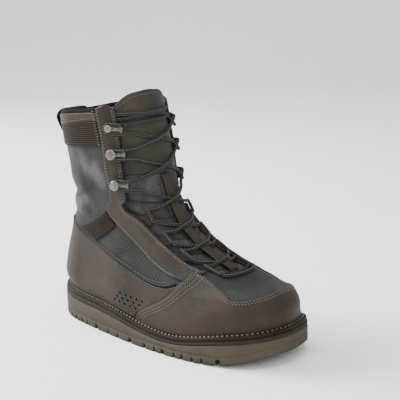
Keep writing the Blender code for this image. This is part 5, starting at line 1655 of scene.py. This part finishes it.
def sew(name, lines, tree, sizes, slot):
    """A real mesh of stitches along lines of points. The sizes are pitch, length and thickness."""
    points, edges = [], []
    for line in lines:
        edges += [(len(points) + k, len(points) + k + 1) for k in range(len(line) - 1)]
        points += [tuple(p) for p in line]
    mesh = bpy.data.meshes.new(name)
    mesh.from_pydata(points, edges, [])
    source = bpy.data.objects.new(name, mesh)
    bpy.context.scene.collection.objects.link(source)
    modifier = source.modifiers.new("Stitches", "NODES")
    modifier.node_group = tree
    sockets = {item.name: item.identifier for item in tree.interface.items_tree if item.in_out == "INPUT"}
    for label, value in zip(("Pitch", "Length", "Thickness"), sizes):
        modifier[sockets[label]] = value
    evaluated = source.evaluated_get(bpy.context.evaluated_depsgraph_get())
    made = bpy.data.meshes.new_from_object(evaluated)
    source.modifiers.remove(modifier)
    source.data = made
    return stand_for(shown(source), slot)


def offset_line(line, amount, lift=STITCH_LIFT):
    """A seam beside an edge line: moved sideways over the surface, to its left if positive."""
    line = fine_line(line) if len(line) < 60 else np.asarray(line, float)
    flat = np.column_stack([line[:, 0] * UPPER_HEIGHT, line[:, 1] * SIDE_SCALE])
    along = unit(np.gradient(flat, axis=0))
    moved = flat + np.column_stack([along[:, 1], -along[:, 0]]) * amount
    return skin(moved[:, 0] / UPPER_HEIGHT, moved[:, 1] / SIDE_SCALE, lift)


def both_sides(line):
    """An edge on the outer and on the inner side, each with the sign that points off its panel."""
    return [(np.asarray(line, float), 1), (np.array(mirrored(line)), -1)]


def leather_seams():
    """Lines of the stitches on the leather, on both sides of the boot."""
    rand_edge = both_ways(fine_line(RAND_TOP, 6))
    rand_edge = rand_edge[rand_edge[:, 0] > SEAM_FOOT]
    seams = [offset_line(rand_edge, amount) for amount in (0.0022, 0.0046)]
    for half, flip in both_sides(RAND_TOP[13:]):
        row = fine_line(half, 6)
        seams.append(offset_line(row[row[:, 0] > SEAM_FOOT], -flip * 0.0070))
    half = fine_line(COUNTER_TOP, 8)[20:]
    counter_edge = np.vstack([half, mirrored(half[-2::-1])])
    seams += [offset_line(counter_edge, amount) for amount in (0.0025, 0.0050)]
    for edge, amounts in ((EYESTAY_REAR[2:], (0.0020, 0.0040)),
                          (throat_line(0.375, 1.0), (-0.0028, -0.0052))):
        seams += [offset_line(line, flip * amount) for line, flip in both_sides(edge) for amount in amounts]
    return seams


def cloth_seams():
    """Fine seams on the cloth quarter and round the cuff."""
    lines = [[(0.297, 0.311), (0.361, 0.276), (0.416, 0.236), (0.452, 0.214)],
             [(0.255, 0.270), (0.326, 0.231), (0.375, 0.200)],
             [(0.240, 0.219), (0.273, 0.204), (0.300, 0.190)],
             [(0.645, 0.420), (0.659, 0.380), (0.712, 0.321), (0.744, 0.273), (0.762, 0.226)]]
    return [offset_line(half, amount, 0.0003) for line in lines for half, _ in both_sides(line)
            for amount in (-0.0012, 0.0012)]


def cuff_seams():
    seams = [skin(level, np.linspace(0.194, 0.806, 200), lift)
             for level, lift in ((0.896, 0.0012), (0.902, 0.0016), (0.9700, 0.0018))]
    return seams + [skin(np.linspace(0.90, 0.99, 20), q, 0.0018)
                    for q0 in (0.193, 0.198) for q in (q0, 1 - q0)]


def tongue_seams():
    seams = []
    for inside in (0.93, 0.90):
        outer = [tongue_line(place * inside, 0.68, 0.985, 50) for place in (1, -1)]
        over = np.array([tongue_line(place * inside, 0.985, 0.985, 1)[0] for place in np.linspace(1, -1, 40)])
        line = np.vstack([outer[0], over[1:-1], outer[1][::-1]])
        seams.append(skin(line[:, 0], line[:, 1], TONGUE_BASE + 0.0010))
    return seams


THREAD_TREE = thread_tree("stitch_run", THREAD)
WELT_TREE = thread_tree("welt_stitch_run", WELT_THREAD)
FINE_TREE = thread_tree("fine_stitch_run", FINE_THREAD)
leather_stitches = sew("leather_stitches", leather_seams(), THREAD_TREE, (0.0031, 0.0019, 0.0010), "leather")
band_stitches = sew("band_stitches", cuff_seams() + tongue_seams(), THREAD_TREE, (0.0029, 0.0017, 0.0009),
                    "leather")
cloth_stitches = sew("cloth_stitches", cloth_seams(), FINE_TREE, (0.0026, 0.0016, 0.0007), "upper_cloth")
welt_line = plan_ring(WELT_STITCH, raised(welt_top, 0.0004))
welt_stitches = sew("welt_stitches", [np.vstack([welt_line, welt_line[:1]])], WELT_TREE,
                    (0.0050, 0.0027, 0.0018), "welt_leather")
print("stitch faces:", [len(p.data.polygons) for p in (leather_stitches, cloth_stitches, welt_stitches)])

# %% [markdown]
# Water leaves a wading boot through small punched holes low on each side. At this size a hole
# reads as a dark dot, so each is a flat black disc on the leather, painted shade of the hole,
# in slanting rows.
# %% Drain holes
HOLE_COLUMNS = ((0.102, 0.302), (0.101, 0.2905), (0.101, 0.279), (0.102, 0.267), (0.104, 0.2545))
HOLE_STEP = (-0.0245, 0.0062)


def build_drains():
    disc = [(0.00125, -0.0002), (0.00122, 0.00012), (0.0009, 0.00022), (0.0003, 0.00024)]
    points, faces, _ = turned(disc, 14)
    parts = []
    for t0, q0 in HOLE_COLUMNS:
        for k in range(3):
            t, q = t0 + k * HOLE_STEP[0], q0 + k * HOLE_STEP[1]
            parts += [(laid(points, frame_at(t, share, STITCH_LIFT - 0.00005)), faces, None)
                      for share in (q, 1 - q)]
    points, faces, _ = join(parts)
    return stand_for(new_piece("drain_holes", points, faces, HOLE), "leather")


drains = build_drains()
print("drain hole faces:", len(drains.data.polygons))

# %% [markdown]
# The studio is plain: a pale floor that curves up behind, a large soft light from the front
# left, a weaker one from the right and one above, as in the photo, whose shadows are faint.
# %% Floor and light


def build_floor():
    depth = np.r_[np.linspace(-3.0, 2.2, 14), 2.2 + 1.3 * np.sin(np.linspace(0.1, math.pi / 2, 14)), 3.5]
    rise = np.r_[np.zeros(14), 1.3 * (1 - np.cos(np.linspace(0.1, math.pi / 2, 14))), 4.0]
    turn = Matrix.Rotation(CAMERA_AZIMUTH, 3, "Z")
    points = [turn @ Vector((x, y, z)) for x in (-4.0, 4.0) for y, z in zip(depth, rise)]
    count = len(depth)
    faces = [(k, k + count, k + count + 1, k + 1) for k in range(count - 1)]
    mesh = bpy.data.meshes.new("studio_floor")
    mesh.from_pydata(points, [], faces)
    mesh.polygons.foreach_set("use_smooth", [True] * len(mesh.polygons))
    finish = Finish("pale_floor", 0.9)
    mesh.materials.append(finish.done(finish.mix(finish.noise(3.0, 2.0), (0.86,) * 3, (0.89,) * 3)))
    floor = bpy.data.objects.new("studio_floor", mesh)
    bpy.context.scene.collection.objects.link(floor)


def soft_light(name, azimuth, height, distance, size, power):
    """An area light that looks at the boot. Azimuth and height are seen from the boot, in degrees."""
    data = bpy.data.lights.new(name, "AREA")
    data.shape, data.size, data.energy = "DISK", size, power
    lamp = bpy.data.objects.new(name, data)
    lamp.location = towards(math.radians(azimuth), math.radians(height)) * distance
    lamp.rotation_euler = (Vector((0, 0, 0.12)) - lamp.location).to_track_quat("-Z", "Y").to_euler()
    bpy.context.scene.collection.objects.link(lamp)


build_floor()
soft_light("key_light", -74, 38, 2.2, 1.1, 120)
soft_light("fill_light", 58, 32, 2.4, 1.6, 28)
soft_light("top_light", 10, 84, 2.4, 1.6, 40)
world = bpy.data.worlds.new("studio_air")
world.use_nodes = True
for key, value in (("Color", (1.0, 1.0, 1.0, 1.0)), ("Strength", 0.75)):
    world.node_tree.nodes["Background"].inputs[key].default_value = value
bpy.context.scene.world = world
print("pieces:", len(PIECES))
